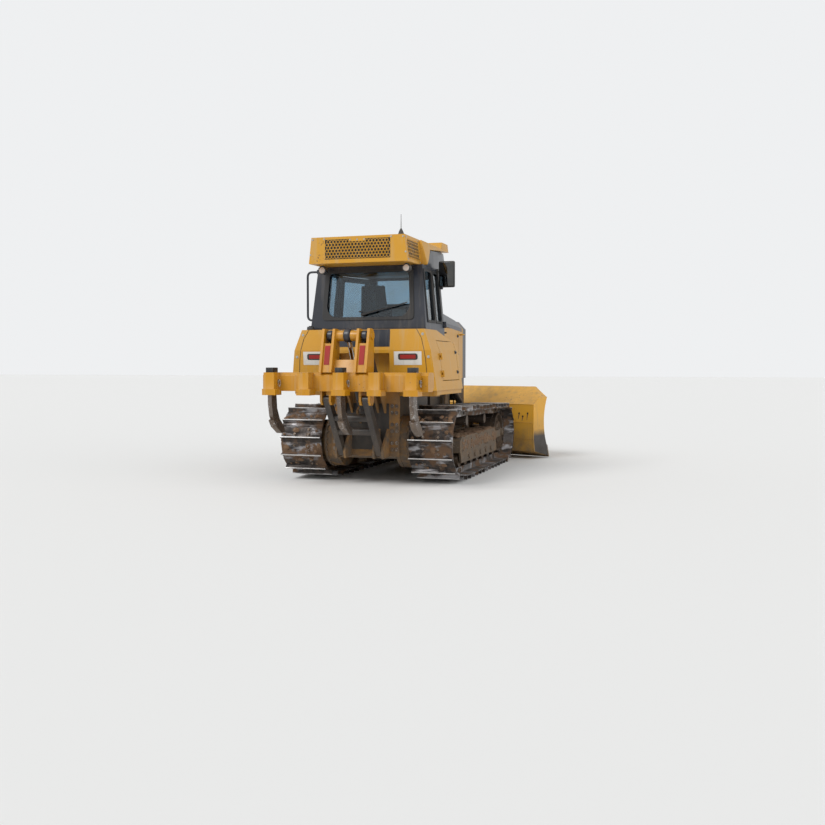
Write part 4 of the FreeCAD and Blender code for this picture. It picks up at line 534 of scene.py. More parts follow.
# Rear wiper: a pressed arm on a spindle under the pane, with a rubber blade along the glass.
wiper = bmesh.new()
spindle = on_rear_wall(0.06, 2.315) + Vector((-0.022, 0, 0))
wiper_tip = on_rear_wall(-0.575, 2.465) + Vector((-0.022, 0, 0))
sweep = wiper_tip - spindle
for share0, share1, half, deep in ((-0.04, 0.34, 0.016, 0.020), (0.20, 1.0, 0.009, 0.014)):
    low_end = spindle + sweep * share0
    high_end = spindle + sweep * share1
    up = Vector((0, 0, half))
    prism(wiper, [low_end - up, high_end - up * 0.7, high_end + up * 0.7, low_end + up], (-deep, 0, 0))
bmesh.ops.create_cone(wiper, cap_ends=True, segments=16, radius1=0.026, radius2=0.020, depth=0.05,
                      matrix=Matrix.Translation(spindle + Vector((0.012, 0, 0))) @ Matrix.Rotation(-math.pi / 2, 4, "Y"))
for y, z in ((0.115, 2.352), (-0.20, 2.262)):
    bmesh.ops.create_cone(wiper, cap_ends=True, segments=12, radius1=0.013, radius2=0.010, depth=0.03,
                          matrix=Matrix.Translation(on_rear_wall(y, z)) @ Matrix.Rotation(-math.pi / 2, 4, "Y"))
put(wiper, "rear_wiper", rubber, "root", 35)

# Work lamp lenses: clear moulded lenses over a bright reflector, round at the rear and square
# at the front, pressed into the black housings.
lens = weathered("lamp_lens", (0.72, 0.60, 0.52, 1), (0.60, 0.52, 0.46, 1), (0.42, 0.36, 0.28, 1),
                 3.2, 2.6, 0.4, (0.50, 0.44, 0.38, 1), 0.98, 0.12)
lens.node_tree.nodes["Principled BSDF"].inputs["Coat Weight"].default_value = 1.0
lenses = bmesh.new()
for side in (1, -1):
    bmesh.ops.create_uvsphere(lenses, u_segments=24, v_segments=12, radius=0.043,
                              matrix=Matrix.Translation((-2.0045, side * 0.606, 2.915)) @ Matrix.Diagonal((0.22, 1, 1, 1)))
    for y in (0.25, 0.52):
        slab(lenses, (-0.182, side * y - 0.055, 3.150), (-0.176, side * y + 0.055, 3.220))
put(lenses, "lamp_lenses", lens, "root", 50)

# Rear body dressing: a bare black band across the upper rear face, two blank white plates with a
# dark-red reflector each, the seams of the side boxes and the screws that hold them.
def on_rear_body(y, z, proud=0.0):
    """Place on the rear body's folded rear face."""
    if z > 1.82:
        return Vector((-2.10 + (z - 1.82) / 0.28 * 0.03 - proud, y, z))
    return Vector((-2.10 + (1.82 - z) / 0.54 * 0.05 - proud, y, z))


def panel(mesh, y0, y1, z0, z1, radius, proud, thick):
    """Adds a thin plate with round corners to the rear face."""
    place = lambda y, z: on_rear_body(y, z, proud)
    edges = rounded_loop(mesh, [(y0, z0, radius), (y1, z0, radius), (y1, z1, radius), (y0, z1, radius)], place)
    face = mesh.faces.new([edge.verts[1] for edge in edges])
    pushed = bmesh.ops.extrude_face_region(mesh, geom=[face])
    moved = [part for part in pushed["geom"] if isinstance(part, bmesh.types.BMVert)]
    bmesh.ops.translate(mesh, verts=moved, vec=(-thick, 0, 0))
    bmesh.ops.recalc_face_normals(mesh, faces=mesh.faces)


band = bmesh.new()
panel(band, -0.405, 0.405, 1.865, 2.098, 0.004, -0.001, 0.003)
put(band, "rear_band", slate_paint, "root")

plate_white = weathered("plate_white", (0.72, 0.72, 0.69, 1), (0.62, 0.61, 0.57, 1), (0.42, 0.35, 0.25, 1),
                        1.8, 1.3, 0.5, (0.45, 0.38, 0.28, 1), 0.97, 0.5)
plate_black = weathered("plate_black", (0.020, 0.016, 0.016, 1), (0.03, 0.025, 0.024, 1), (0.12, 0.09, 0.07, 1),
                        1.8, 1.3, 0.4, (0.05, 0.04, 0.04, 1), 0.97, 0.4)
reflector_red = weathered("reflector_red", (0.36, 0.008, 0.006, 1), (0.27, 0.008, 0.006, 1),
                          (0.20, 0.05, 0.03, 1), 1.9, 1.4, 0.3, (0.18, 0.03, 0.02, 1), 0.97, 0.62)
plates = bmesh.new()
frames = bmesh.new()
reflectors = bmesh.new()
for side in (1, -1):
    y0, y1 = sorted((side * 0.465, side * 0.851))
    panel(plates, y0, y1, 1.622, 1.802, 0.006, -0.001, 0.004)
    panel(frames, y0 + 0.055, y1 - 0.060, 1.690, 1.773, 0.025, 0.002, 0.004)
    panel(reflectors, y0 + 0.082, y1 - 0.088, 1.705, 1.757, 0.008, 0.005, 0.003)
put(plates, "rear_plates", plate_white, "root")
put(frames, "rear_plate_frames", plate_black, "root")

seams = bmesh.new()
for side in (1, -1):
    seam_line = [(0.775, 2.098), (0.845, 1.98), (0.885, 1.83), (0.905, 1.70), (0.925, 1.40), (0.93, 1.30)]
    for (ya, za), (yb, zb) in zip(seam_line, seam_line[1:]):
        low_end = on_rear_body(side * ya, za, -0.002)
        high_end = on_rear_body(side * yb, zb, -0.002)
        wide = Vector((0, 0.0035, 0))
        prism(seams, [low_end - wide, high_end - wide, high_end + wide, low_end + wide], (-0.0045, 0, 0))
put(seams, "side_box_seams", rubber, "root")

body_screws = bmesh.new()
for side in (1, -1):
    for y, z in ((0.86, 2.03), (0.945, 1.73), (0.965, 1.50), (0.30, 1.33), (0.62, 1.33)):
        bolt(body_screws, on_rear_body(side * y, z), (-1, 0, 0), 0.014, 0.010)
put(body_screws, "rear_screws", zinc, "root")


# Ripper beam: a welded box with five cast pockets and two forked towers of thick plate whose
# round heads hold the upper pins. Cleaner yellow than the frame, with eased edges.
def merged_copy(node):
    """Bmesh of a CAD node with its loose triangles joined up."""
    mesh = bmesh.new()
    mesh.from_mesh(frame["nodes"][node].data)
    bmesh.ops.remove_doubles(mesh, verts=mesh.verts, dist=0.00005)
    bmesh.ops.dissolve_limit(mesh, angle_limit=math.radians(0.5), verts=mesh.verts, edges=mesh.edges)
    return mesh


def cut_from(mesh, cutter):
    """Takes one bmesh out of another and returns the remainder as a new bmesh."""
    shapes = []
    for label, part in (("kept", mesh), ("cutter", cutter)):
        data = bpy.data.meshes.new(label)
        part.to_mesh(data)
        part.free()
        shape = bpy.data.objects.new(label, data)
        bpy.context.scene.collection.objects.link(shape)
        shapes.append(shape)
    taking = shapes[0].modifiers.new("taking", "BOOLEAN")
    taking.operation = "DIFFERENCE"
    taking.solver = "EXACT"
    taking.object = shapes[1]
    result = bpy.data.meshes.new_from_object(shapes[0].evaluated_get(bpy.context.evaluated_depsgraph_get()))
    left = bmesh.new()
    left.from_mesh(result)
    for shape in shapes:
        bpy.data.objects.remove(shape)
    return left


upper_pin = Vector((-2.56, 0, 2.0))
tower_round = 0.09
tower_mid_y = 0.24
beam_rear = -2.74
pocket_rear = -2.90
pocket_places = [0.484 * step for step in (-2, -1, 0, 1, 2)]

cutter = bmesh.new()
for side in (1, -1):
    slab(cutter, (-2.80, side * tower_mid_y - 0.055, 1.90), (-2.575, side * tower_mid_y + 0.055, 2.12))
for way, corner in ((-1, (-2.72, 2.14)), (1, (-2.40, 2.14))):
    arc = [(upper_pin.x + way * tower_round * math.cos(math.radians(15 * k)),
            upper_pin.z + tower_round * math.sin(math.radians(15 * k))) for k in range(7)]
    outline = [(corner[0], upper_pin.z)] + arc + [(upper_pin.x, corner[1]), corner]
    prism(cutter, [(x, 0.36, z) for x, z in outline], (0, -0.72, 0))
beam_mesh = cut_from(merged_copy("ripper_beam"), cutter)
bmesh.ops.dissolve_limit(beam_mesh, angle_limit=math.radians(1), verts=beam_mesh.verts, edges=beam_mesh.edges)
beam = put(beam_mesh, "ripper_beam_dressed", fresh_paint, "ripper_beam", 30)
ease = beam.modifiers.new("ease", "BEVEL")
ease.width = 0.007
ease.segments = 2
ease.limit_method = "ANGLE"
ease.angle_limit = math.radians(40)
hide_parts("ripper_beam")

# Tower heads and link eyes: dark forged eyes on the upper pins between the tower plates, the
# cylinder's eye on the middle tube, and turned collars on the pins' ends.
eyes = bmesh.new()
for side in (1, -1):
    bmesh.ops.create_cone(eyes, cap_ends=True, segments=32, radius1=0.072, radius2=0.072, depth=0.072,
                          matrix=Matrix.Translation((upper_pin.x, side * tower_mid_y, upper_pin.z))
                          @ Matrix.Rotation(math.pi / 2, 4, "X"))
soften(eyes, 0.010, 3)
put(eyes, "upper_link_eyes", slate_paint, "ripper_upper_links", 40)
rod_eye = bmesh.new()
bmesh.ops.create_cone(rod_eye, cap_ends=True, segments=32, radius1=0.088, radius2=0.088, depth=0.080,
                      matrix=Matrix.Translation(upper_pin) @ Matrix.Rotation(math.pi / 2, 4, "X"))
soften(rod_eye, 0.012, 3)
put(rod_eye, "ripper_rod_eye", slate_paint, "ripper_rod", 40)
collars = bmesh.new()
for side in (1, -1):
    for y in (0.158, 0.328):
        out = math.copysign(1, y - tower_mid_y)
        bmesh.ops.create_cone(collars, cap_ends=True, segments=32, radius1=0.058, radius2=0.052, depth=0.024,
                              matrix=Matrix.Translation((upper_pin.x, side * (y + out * 0.004), upper_pin.z))
                              @ Matrix.Rotation(-side * out * math.pi / 2, 4, "X"))
put(collars, "tower_pin_collars", fresh_paint, "ripper_beam", 40)

# Tower reflectors: dark-red plastic strips stuck on the towers' rear webs.
def on_tower_web(y, z, proud):
    return Vector((-2.75 + (z - 1.524) * 0.2344 - proud, y, z))


strips = bmesh.new()
for y in (0.24, -0.24):
    edges = [on_tower_web(y - 0.036, 1.625, 0.0), on_tower_web(y + 0.036, 1.625, 0.0),
             on_tower_web(y + 0.036, 1.870, 0.0), on_tower_web(y - 0.036, 1.870, 0.0)]
    prism(strips, edges, (-0.005, 0, -0.001))
put(strips, "tower_reflectors", reflector_red, "ripper_beam")
put(reflectors, "rear_reflectors", reflector_red, "root")

# Shank blocks and pins: black wear blocks over the shanks' heads, and a steel pin with a bright
# spring clip through each of the three pockets that hold a shank.
blocks = bmesh.new()
pins = bmesh.new()
clips = bmesh.new()
for y in pocket_places[::2]:
    slab(blocks, (pocket_rear - 0.002, y - 0.052, 1.524), (-2.752, y + 0.052, 1.588))
    for end in (-1, 1):
        bmesh.ops.create_cone(pins, cap_ends=True, segments=20, radius1=0.030, radius2=0.026, depth=0.03,
                              matrix=Matrix.Translation((-2.79, y + end * 0.072, 1.405))
                              @ Matrix.Rotation(-end * math.pi / 2, 4, "X"))
    for k in range(14):
        turn = 2 * math.pi * k / 14
        bmesh.ops.create_uvsphere(clips, u_segments=8, v_segments=6, radius=0.007,
                                  matrix=Matrix.Translation((-2.79 + 0.030 * math.cos(turn), y - 0.092,
                                                             1.385 + 0.040 * math.sin(turn))))
soften(blocks, 0.006, 2)
put(blocks, "shank_blocks", rubber, "ripper_beam", 40)
put(pins, "shank_pins", worn_steel, "ripper_beam", 40)
put(clips, "shank_pin_clips", zinc, "ripper_beam", 60)

# Shank teeth: cast points and shin guards pinned over the curved shanks' lower ends.
teeth = bmesh.new()
shank_nose = [(-2.772, 0.925), (-2.664, 0.817), (-2.485, 0.716), (-2.620, 0.716), (-2.790, 0.812), (-2.860, 0.900)]
for y in pocket_places[::2]:
    verts = prism(teeth, [(x, y + 0.041, z) for x, z in shank_nose], (0, -0.082, 0))
    for vert in verts:
        if vert.co.x > -2.55:
            vert.co.y = y + (vert.co.y - y) * 0.55
soften(teeth, 0.006, 2)
put(teeth, "shank_teeth", worn_steel, "ripper_beam", 40)

# Track loops: shoes with one worn grouser each, bare and bright along the grousers' edges and in
# patches, with mud in between. Each loop is a chain of forged links with bolted shoes.
shoe_steel = bpy.data.materials.new("shoe_steel")
shoe_steel.use_nodes = True
shoe_tree = shoe_steel.node_tree
shoe_shader = shoe_tree.nodes["Principled BSDF"]
tip_share = add_node(shoe_tree, "ShaderNodeSeparateXYZ",
                     {0: add_node(shoe_tree, "ShaderNodeTexCoord").outputs["UV"]}).outputs["Y"]
rubbed = ramp(shoe_tree, noise(shoe_tree, 5.0, 7, (1, 0.35, 1)), 0.50, 0.58)
muddy = maths(shoe_tree, "MULTIPLY", ramp(shoe_tree, noise(shoe_tree, 3.6, 9), 0.50, 0.58),
              ramp(shoe_tree, tip_share, 0.9, 0.5))
edge_bare = ramp(shoe_tree, maths(shoe_tree, "ADD", tip_share, maths(shoe_tree, "MULTIPLY", noise(shoe_tree, 11.0, 4), 0.25)),
                 0.98, 1.10)
plain_steel = blend(shoe_tree, ramp(shoe_tree, noise(shoe_tree, 14.0, 8), 0.35, 0.7), (0.022, 0.019, 0.018, 1),
                    (0.075, 0.062, 0.055, 1))
rubbed_steel = blend(shoe_tree, maths(shoe_tree, "MULTIPLY", rubbed, 0.8), plain_steel, (0.36, 0.35, 0.36, 1))
mudded = blend(shoe_tree, muddy, rubbed_steel, (0.125, 0.072, 0.040, 1))
bared = blend(shoe_tree, edge_bare, mudded, (0.62, 0.61, 0.60, 1))
shoe_tree.links.new(bared, shoe_shader.inputs["Base Color"])
dull = add_node(shoe_tree, "ShaderNodeMapRange", {"Value": muddy, "To Min": 0.36, "To Max": 0.95}).outputs[0]
shoe_tree.links.new(dull, shoe_shader.inputs["Roughness"])
bare_metal = add_node(shoe_tree, "ShaderNodeMapRange", {"Value": muddy, "To Min": 0.75, "To Max": 0.0}).outputs[0]
shoe_tree.links.new(bare_metal, shoe_shader.inputs["Metallic"])
shoe_relief = add_node(shoe_tree, "ShaderNodeBump", {"Height": noise(shoe_tree, 24.0, 7), "Strength": 0.6,
                                                     "Distance": 0.006})
shoe_tree.links.new(shoe_relief.outputs[0], shoe_shader.inputs["Normal"])

track_mid_y = 0.94
shoe_plates = {}
for name in ("track_left", "track_right"):
    loop = bmesh.new()
    loop.from_mesh(frame["nodes"][name].data)
    bmesh.ops.remove_doubles(loop, verts=loop.verts, dist=0.00005)
    inside_faces = [edge for edge in loop.edges if len(edge.link_faces) == 2 and abs(edge.link_faces[0].normal.y) < 0.5
                    and edge.link_faces[0].normal.dot(edge.link_faces[1].normal) > 0.99999]
    bmesh.ops.dissolve_edges(loop, edges=inside_faces, use_verts=False)
    spans = {}
    for face in loop.faces:
        ys = [vert.co.y for vert in face.verts]
        if max(ys) - min(ys) > 0.6:
            spans[face] = face.calc_area() / (max(ys) - min(ys))
    tips = [face for face, width in spans.items() if 0.012 < width < 0.016]
    tip_spots = [(face.calc_center_median(), face.normal.copy()) for face in tips]
    flats = [(face.calc_center_median(), face.normal.copy()) for face, width in spans.items() if 0.12 < width < 0.15]
    shoe_plates[name] = []
    for middle, normal in flats:
        tip, tip_normal = min(tip_spots, key=lambda spot: (spot[0] - middle).length)
        if normal.dot(tip_normal) > 0.99:
            ahead = middle - tip
            shoe_plates[name].append((middle, normal, (ahead - normal * ahead.dot(normal)).normalized()))
    tip_verts = {vert for face in tips for vert in face.verts}
    layer = loop.loops.layers.uv.new("wear")
    for face in loop.faces:
        for corner in face.loops:
            corner[layer].uv = (corner.vert.co.y, 1.0 if corner.vert in tip_verts else 0.0)
    dressed = put(loop, name + "_dressed", shoe_steel, "root", 30)
    worn_edge = dressed.modifiers.new("worn_edge", "BEVEL")
    worn_edge.width = 0.003
    worn_edge.segments = 1
    worn_edge.limit_method = "ANGLE"
    worn_edge.angle_limit = math.radians(50)
    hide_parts(name)

# Shoe bolts and link pins: four plough bolts hold each shoe to its two links, and a pin joins each
# link to the next, with a raised rounded plate round every pair of pins.
shoe_bolts = bmesh.new()
link_plates = bmesh.new()
for name, plates in shoe_plates.items():
    mid_y = math.copysign(track_mid_y, plates[0][0].y)
    for middle, normal, ahead in plates:
        for along in (-0.032, 0.038):
            for y in (-0.105, 0.105):
                spot = Vector((middle.x, mid_y + y, middle.z)) + ahead * along
                bolt(shoe_bolts, spot, normal, 0.014, 0.013)
        pin = middle - normal * 0.055 - ahead * 0.133
        next_pin = pin + ahead * 0.2055
        for y, way in ((-0.130, -1), (-0.080, 1), (0.080, -1), (0.130, 1)):
            start = Vector((pin.x, mid_y + y, pin.z)) + ahead * 0.008
            outline = []
            for k in range(8):
                turn = math.pi * (k / 7 + 0.5)
                outline.append(start + (ahead * math.cos(turn) + normal * math.sin(turn)) * 0.034)
            for k in range(8):
                turn = math.pi * (k / 7 - 0.5)
                outline.append(start + ahead * 0.105 + (ahead * math.cos(turn) + normal * math.sin(turn)) * 0.026)
            prism(link_plates, outline, (0, way * 0.006, 0))
            bmesh.ops.create_cone(link_plates, cap_ends=True, segments=14, radius1=0.019, radius2=0.017, depth=0.012,
                                  matrix=Matrix.Translation(start + Vector((0, way * 0.006, 0)))
                                  @ Matrix.Rotation(-way * math.pi / 2, 4, "X"))
put(shoe_bolts, "shoe_bolts", worn_steel, "root")
put(link_plates, "link_plates", track_steel, "root")

# Mud on the shoes: small lumps of damp earth that stuck between the grousers, more on the upper
# run. They are rounded, flattened and pressed onto the plates.
mud = weathered("mud", (0.13, 0.070, 0.038, 1), (0.19, 0.115, 0.065, 1), (0.26, 0.17, 0.10, 1),
                1.5, 0.2, 0.3, (0.10, 0.055, 0.03, 1), 0.9, 0.95, bump=0.9)
lumps = bmesh.new()
chance = random.Random(11)
for name, plates in shoe_plates.items():
    for middle, normal, ahead in plates:
        if middle.z < 0.15:
            continue
        for _ in range(12 if normal.z > 0.3 else 5):
            size = chance.uniform(0.010, 0.034)
            spot = middle + ahead * chance.uniform(-0.062, 0.060) + Vector((0, chance.uniform(-0.285, 0.285), 0))
            turn = normal.to_track_quat("Z", "Y").to_matrix().to_4x4()
            blob = bmesh.ops.create_icosphere(lumps, subdivisions=2, radius=size, matrix=Matrix.Translation(spot)
                                              @ turn @ Matrix.Diagonal((chance.uniform(0.8, 1.5), 1.2, 0.45, 1)))
            for vert in blob["verts"]:
                vert.co += (vert.co - spot) * chance.uniform(-0.22, 0.22)
put(lumps, "shoe_mud", mud, "root", 60)

# Rail, mirror and antenna: a bent steel tube to hold on to at the left rear pillar, a moulded
# mirror head on a tube arm at the right, and a rubber foot with a thin whip on the roof.
def bent(corners, reach, steps=6):
    """Path through corners, rounded where it turns."""
    path = [Vector(corners[0])]
    for before, corner, after in zip(corners, corners[1:], corners[2:]):
        corner = Vector(corner)
        start = corner + (Vector(before) - corner).normalized() * reach
        end = corner + (Vector(after) - corner).normalized() * reach
        for k in range(steps + 1):
            t = k / steps
            path.append(start * (1 - t) ** 2 + corner * 2 * t * (1 - t) + end * t ** 2)
    return path + [Vector(corners[-1])]


def tube(mesh, path, radius, sides=12):
    """Adds a round tube with closed ends along a path."""
    rings = []
    for index, point in enumerate(path):
        way = path[min(index + 1, len(path) - 1)] - path[max(index - 1, 0)]
        turn = way.to_track_quat("Z", "Y").to_matrix().to_4x4()
        made = bmesh.ops.create_circle(mesh, cap_ends=index in (0, len(path) - 1), segments=sides, radius=radius,
                                       matrix=Matrix.Translation(point) @ turn)["verts"]
        rings.append({edge for vert in made for edge in vert.link_edges if edge.other_vert(vert) in made})
    for low_ring, high_ring in zip(rings, rings[1:]):
        bmesh.ops.bridge_loops(mesh, edges=list(low_ring | high_ring))
    bmesh.ops.recalc_face_normals(mesh, faces=mesh.faces)


rail = bmesh.new()
tube(rail, bent([(-1.70, 0.795, 2.925), (-1.70, 0.955, 2.925), (-1.70, 0.955, 2.25), (-1.70, 0.860, 2.25)], 0.07), 0.0155)
for y, z in ((0.772, 2.925), (0.838, 2.25)):
    slab(rail, (-1.725, y - 0.012, z - 0.03), (-1.675, y + 0.030, z + 0.03))
rail_piece = put(rail, "grab_rail_bent", slate_paint, "root", 40)
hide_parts("grab_rail")

mirror = bmesh.new()
slab(mirror, (-1.118, -1.030, 2.715), (-1.068, -0.795, 3.085))
soften(mirror, 0.022, 4)
tube(mirror, bent([(-1.07, -0.755, 2.94), (-1.07, -0.93, 2.94), (-1.07, -0.93, 2.86)], 0.03), 0.012)
slab(mirror, (-1.10, -0.785, 2.89), (-1.04, -0.757, 2.975))
mirror_piece = put(mirror, "mirror_dressed", black_plastic, "root", 40)
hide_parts("mirror_right")
mirror_glass = bpy.data.materials.new("mirror_glass")
mirror_glass.use_nodes = True
silvered = mirror_glass.node_tree.nodes["Principled BSDF"]
silvered.inputs["Metallic"].default_value = 1.0
silvered.inputs["Roughness"].default_value = 0.06
mirror_film = ramp(mirror_glass.node_tree, noise(mirror_glass.node_tree, 6.0, 6), 0.40, 0.80)
mirror_tone = blend(mirror_glass.node_tree, mirror_film, (0.075, 0.080, 0.085, 1), (0.13, 0.12, 0.10, 1))
mirror_glass.node_tree.links.new(mirror_tone, silvered.inputs["Base Color"])
mirror_pane = bmesh.new()
slab(mirror_pane, (-1.121, -1.012, 2.735), (-1.116, -0.813, 3.065))
soften(mirror_pane, 0.002, 2)
put(mirror_pane, "mirror_pane", mirror_glass, "root", 40)

aerial = bmesh.new()
for r0, r1, z0, z1 in ((0.072, 0.066, 3.331, 3.375), (0.064, 0.056, 3.375, 3.47), (0.056, 0.030, 3.47, 3.545),
                       (0.030, 0.010, 3.545, 3.585)):
    bmesh.ops.create_cone(aerial, cap_ends=True, segments=28, radius1=r0, radius2=r1, depth=z1 - z0,
                          matrix=Matrix.Translation((-1.0, -0.2, (z0 + z1) / 2)))
put(aerial, "antenna_foot", rubber, "root", 40)

# Door fittings: a pull handle on each cab door, folded latches and a louvre field on the service and
# engine doors. They are bolted on and move with their doors.
def touch(node, start, way):
    """Spot and outward normal where a ray meets a CAD node."""
    met, spot, normal, _ = frame["nodes"][node].ray_cast(Vector(start), Vector(way).normalized())
    assert met, node
    return spot, normal


def on_side(node, x, z, side):
    """Spot and normal on a node's outer side face."""
    return touch(node, (x, side * 2.5, z), (0, -side, 0))


bpy.context.view_layer.update()
for side, name in ((1, "left"), (-1, "right")):
    handle = bmesh.new()
    high_spot, out = on_side("cab_door_" + name, -0.64, 2.095, side)
    low_spot, out = on_side("cab_door_" + name, -0.50, 2.095, side)
    tube(handle, bent([high_spot - out * 0.004, high_spot + out * 0.048, low_spot + out * 0.048, low_spot - out * 0.004],
                      0.02), 0.010)
    for spot in (high_spot, low_spot):
        bolt(handle, spot, out, 0.015, 0.009)
    put(handle, "cab_handle_" + name, black_plastic, "cab_door_" + name, 40)
    for door, places in (("side_door_", ((-0.90, 1.80), (-0.90, 1.52))),
                         ("engine_door_", ((1.24, 2.10), (1.24, 1.80), (1.24, 1.50)))):
        latches = bmesh.new()
        for x, z in places:
            spot, out = on_side(door + name, x, z, side)
            slab(latches, spot - Vector((0.036, 0.004, 0.026)), spot + Vector((0.036, 0.004, 0.026)))
            bmesh.ops.create_cone(latches, cap_ends=True, segments=20, radius1=0.018, radius2=0.015, depth=0.018,
                                  matrix=Matrix.Translation(spot + Vector((0.006, side * 0.008, 0)))
                                  @ Matrix.Rotation(-side * math.pi / 2, 4, "X"))
            tube(latches, [spot + Vector((-0.028, side * 0.003, 0)), spot + Vector((-0.028, side * 0.017, 0)),
                           spot + Vector((0.012, side * 0.020, 0))], 0.005, 8)
        soften(latches, 0.002, 1, 60)
        put(latches, door + "latches_" + name, slate_paint, door + name, 40)
    louvres = bmesh.new()
    for column in (0.30, 0.62, 0.94):
        for row in range(9):
            spot, out = on_side("engine_door_" + name, column, 1.56 + 0.052 * row, side)
            verts = prism(louvres, [spot + Vector((-0.125, -side * 0.002, 0.016)), spot + Vector((-0.125, side * 0.012, -0.012)),
                                    spot + Vector((-0.125, -side * 0.002, -0.012))], (0.25, 0, 0))
            for vert in verts:
                vert.co.y -= side * (vert.co.x - spot.x) * 0.035
    put(louvres, "engine_door_louvres_" + name, yellow_paint, "engine_door_" + name)

# Hood dressing: a black glare panel over the crown and shoulders, with yellow grab handles on each
# side.
hood_cover = bmesh.new()
rear_row = ((-0.491, 2.255), (-0.491, 2.314), (-0.362, 2.535), (0.362, 2.535), (0.491, 2.314), (0.491, 2.255))
front_row = ((-0.429, 2.178), (-0.429, 2.237), (-0.311, 2.371), (0.311, 2.371), (0.429, 2.237), (0.429, 2.178))
rows = []
cover_steps = 14
for step in range(cover_steps + 1):
    share = step / cover_steps
    chain = [hood_cover.verts.new((-0.235 + 1.785 * share, y0 + (y1 - y0) * share, z0 + (z1 - z0) * share))
             for (y0, z0), (y1, z1) in zip(rear_row, front_row)]
    rows.append([hood_cover.edges.new(pair) for pair in zip(chain, chain[1:])])
for low_row, high_row in zip(rows, rows[1:]):
    bmesh.ops.bridge_loops(hood_cover, edges=low_row + high_row)
bmesh.ops.recalc_face_normals(hood_cover, faces=hood_cover.faces)
bmesh.ops.solidify(hood_cover, geom=list(hood_cover.faces), thickness=0.004)
put(hood_cover, "hood_glare_panel", slate_paint, "root")
handles = bmesh.new()
for side in (1, -1):
    for x0, x1, z0, z1 in ((-0.16, -0.16, 2.22, 1.99), (1.40, 1.48, 2.13, 2.13)):
        start, out = on_side("hood", x0, z0, side)
        end, out = on_side("hood", x1, z1, side)
        tube(handles, bent([start, start + out * 0.06, end + out * 0.06, end], 0.03), 0.0125)
put(handles, "hood_handles", yellow_paint, "root", 40)

# Blade dressing: weld beads along the folds of the box back, three worn-through drain holes drawn as
# near-black discs of painted shade with brown streaks, a thick lip on each end plate and bolted edges.
blade_turn = math.radians(-20)
blade_pivot_x = 2.43
blade_body = body_of(frame["nodes"]["blade"])[0]


def on_blade(x, y, z):
    """Place on the blade in its own axes: x ahead of its swing centre, y along it."""
    turn = Matrix.Rotation(blade_turn, 3, "Z")
    return Vector((blade_pivot_x, 0, 0)) + turn @ Vector((x, y, z))


ahead_of_blade = on_blade(1, 0, 0) - on_blade(0, 0, 0)
beads = bmesh.new()
for x, z in ((0.171, 0.941), (0.151, 0.630), (0.157, 0.350), (0.186, 0.141)):
    tube(beads, [on_blade(x, y, z) for y in (-1.60, -0.5, 0.5, 1.60)], 0.0065, 8)
for side in (1, -1):
    rib = [on_blade(x, side * 1.622, z) for x, z in ((0.186, 0.145), (0.158, 0.350), (0.152, 0.630), (0.172, 0.940), (0.34, 1.045))]
    tube(beads, rib, 0.011, 8)
put(beads, "blade_weld_beads", sunlit_blade_paint, blade_body, 50)
# The drain holes are near-black discs on the back plate: painted shade for the hollow behind them.
holes = bmesh.new()
streaks = bmesh.new()
for y, z, length in ((-1.33, 0.785, 0.10), (-1.405, 0.735, 0.08), (-1.50, 0.79, 0.12)):
    x = 0.152 + (z - 0.63) * 0.0645
    turn = (-ahead_of_blade).to_track_quat("Z", "Y").to_matrix().to_4x4()
    bmesh.ops.create_cone(holes, cap_ends=True, segments=18, radius1=0.017, radius2=0.015, depth=0.006,
                          matrix=Matrix.Translation(on_blade(x - 0.001, y, z)) @ turn)
    prism(streaks, [on_blade(x - 0.001, y - 0.012, z - 0.01), on_blade(x - 0.001, y + 0.010, z - 0.01),
                    on_blade(x - 0.0062, y + 0.016, z - length), on_blade(x - 0.0062, y + 0.008, z - length)],
          -ahead_of_blade * 0.0015)
put(holes, "blade_drain_hole_shade", foam_and_hole_shade, blade_body)
put(streaks, "blade_streaks", mud, blade_body)
blade_bolts = bmesh.new()
for k in range(15):
    y = -1.47 + 0.21 * k
    for z in (0.10, 0.17):
        start = on_blade(1.3, y, z)
        spot, out = touch("cutting_edge", start, -ahead_of_blade)
        bolt(blade_bolts, spot, out, 0.013, 0.009)
put(blade_bolts, "cutting_edge_bolts", worn_steel, blade_body)

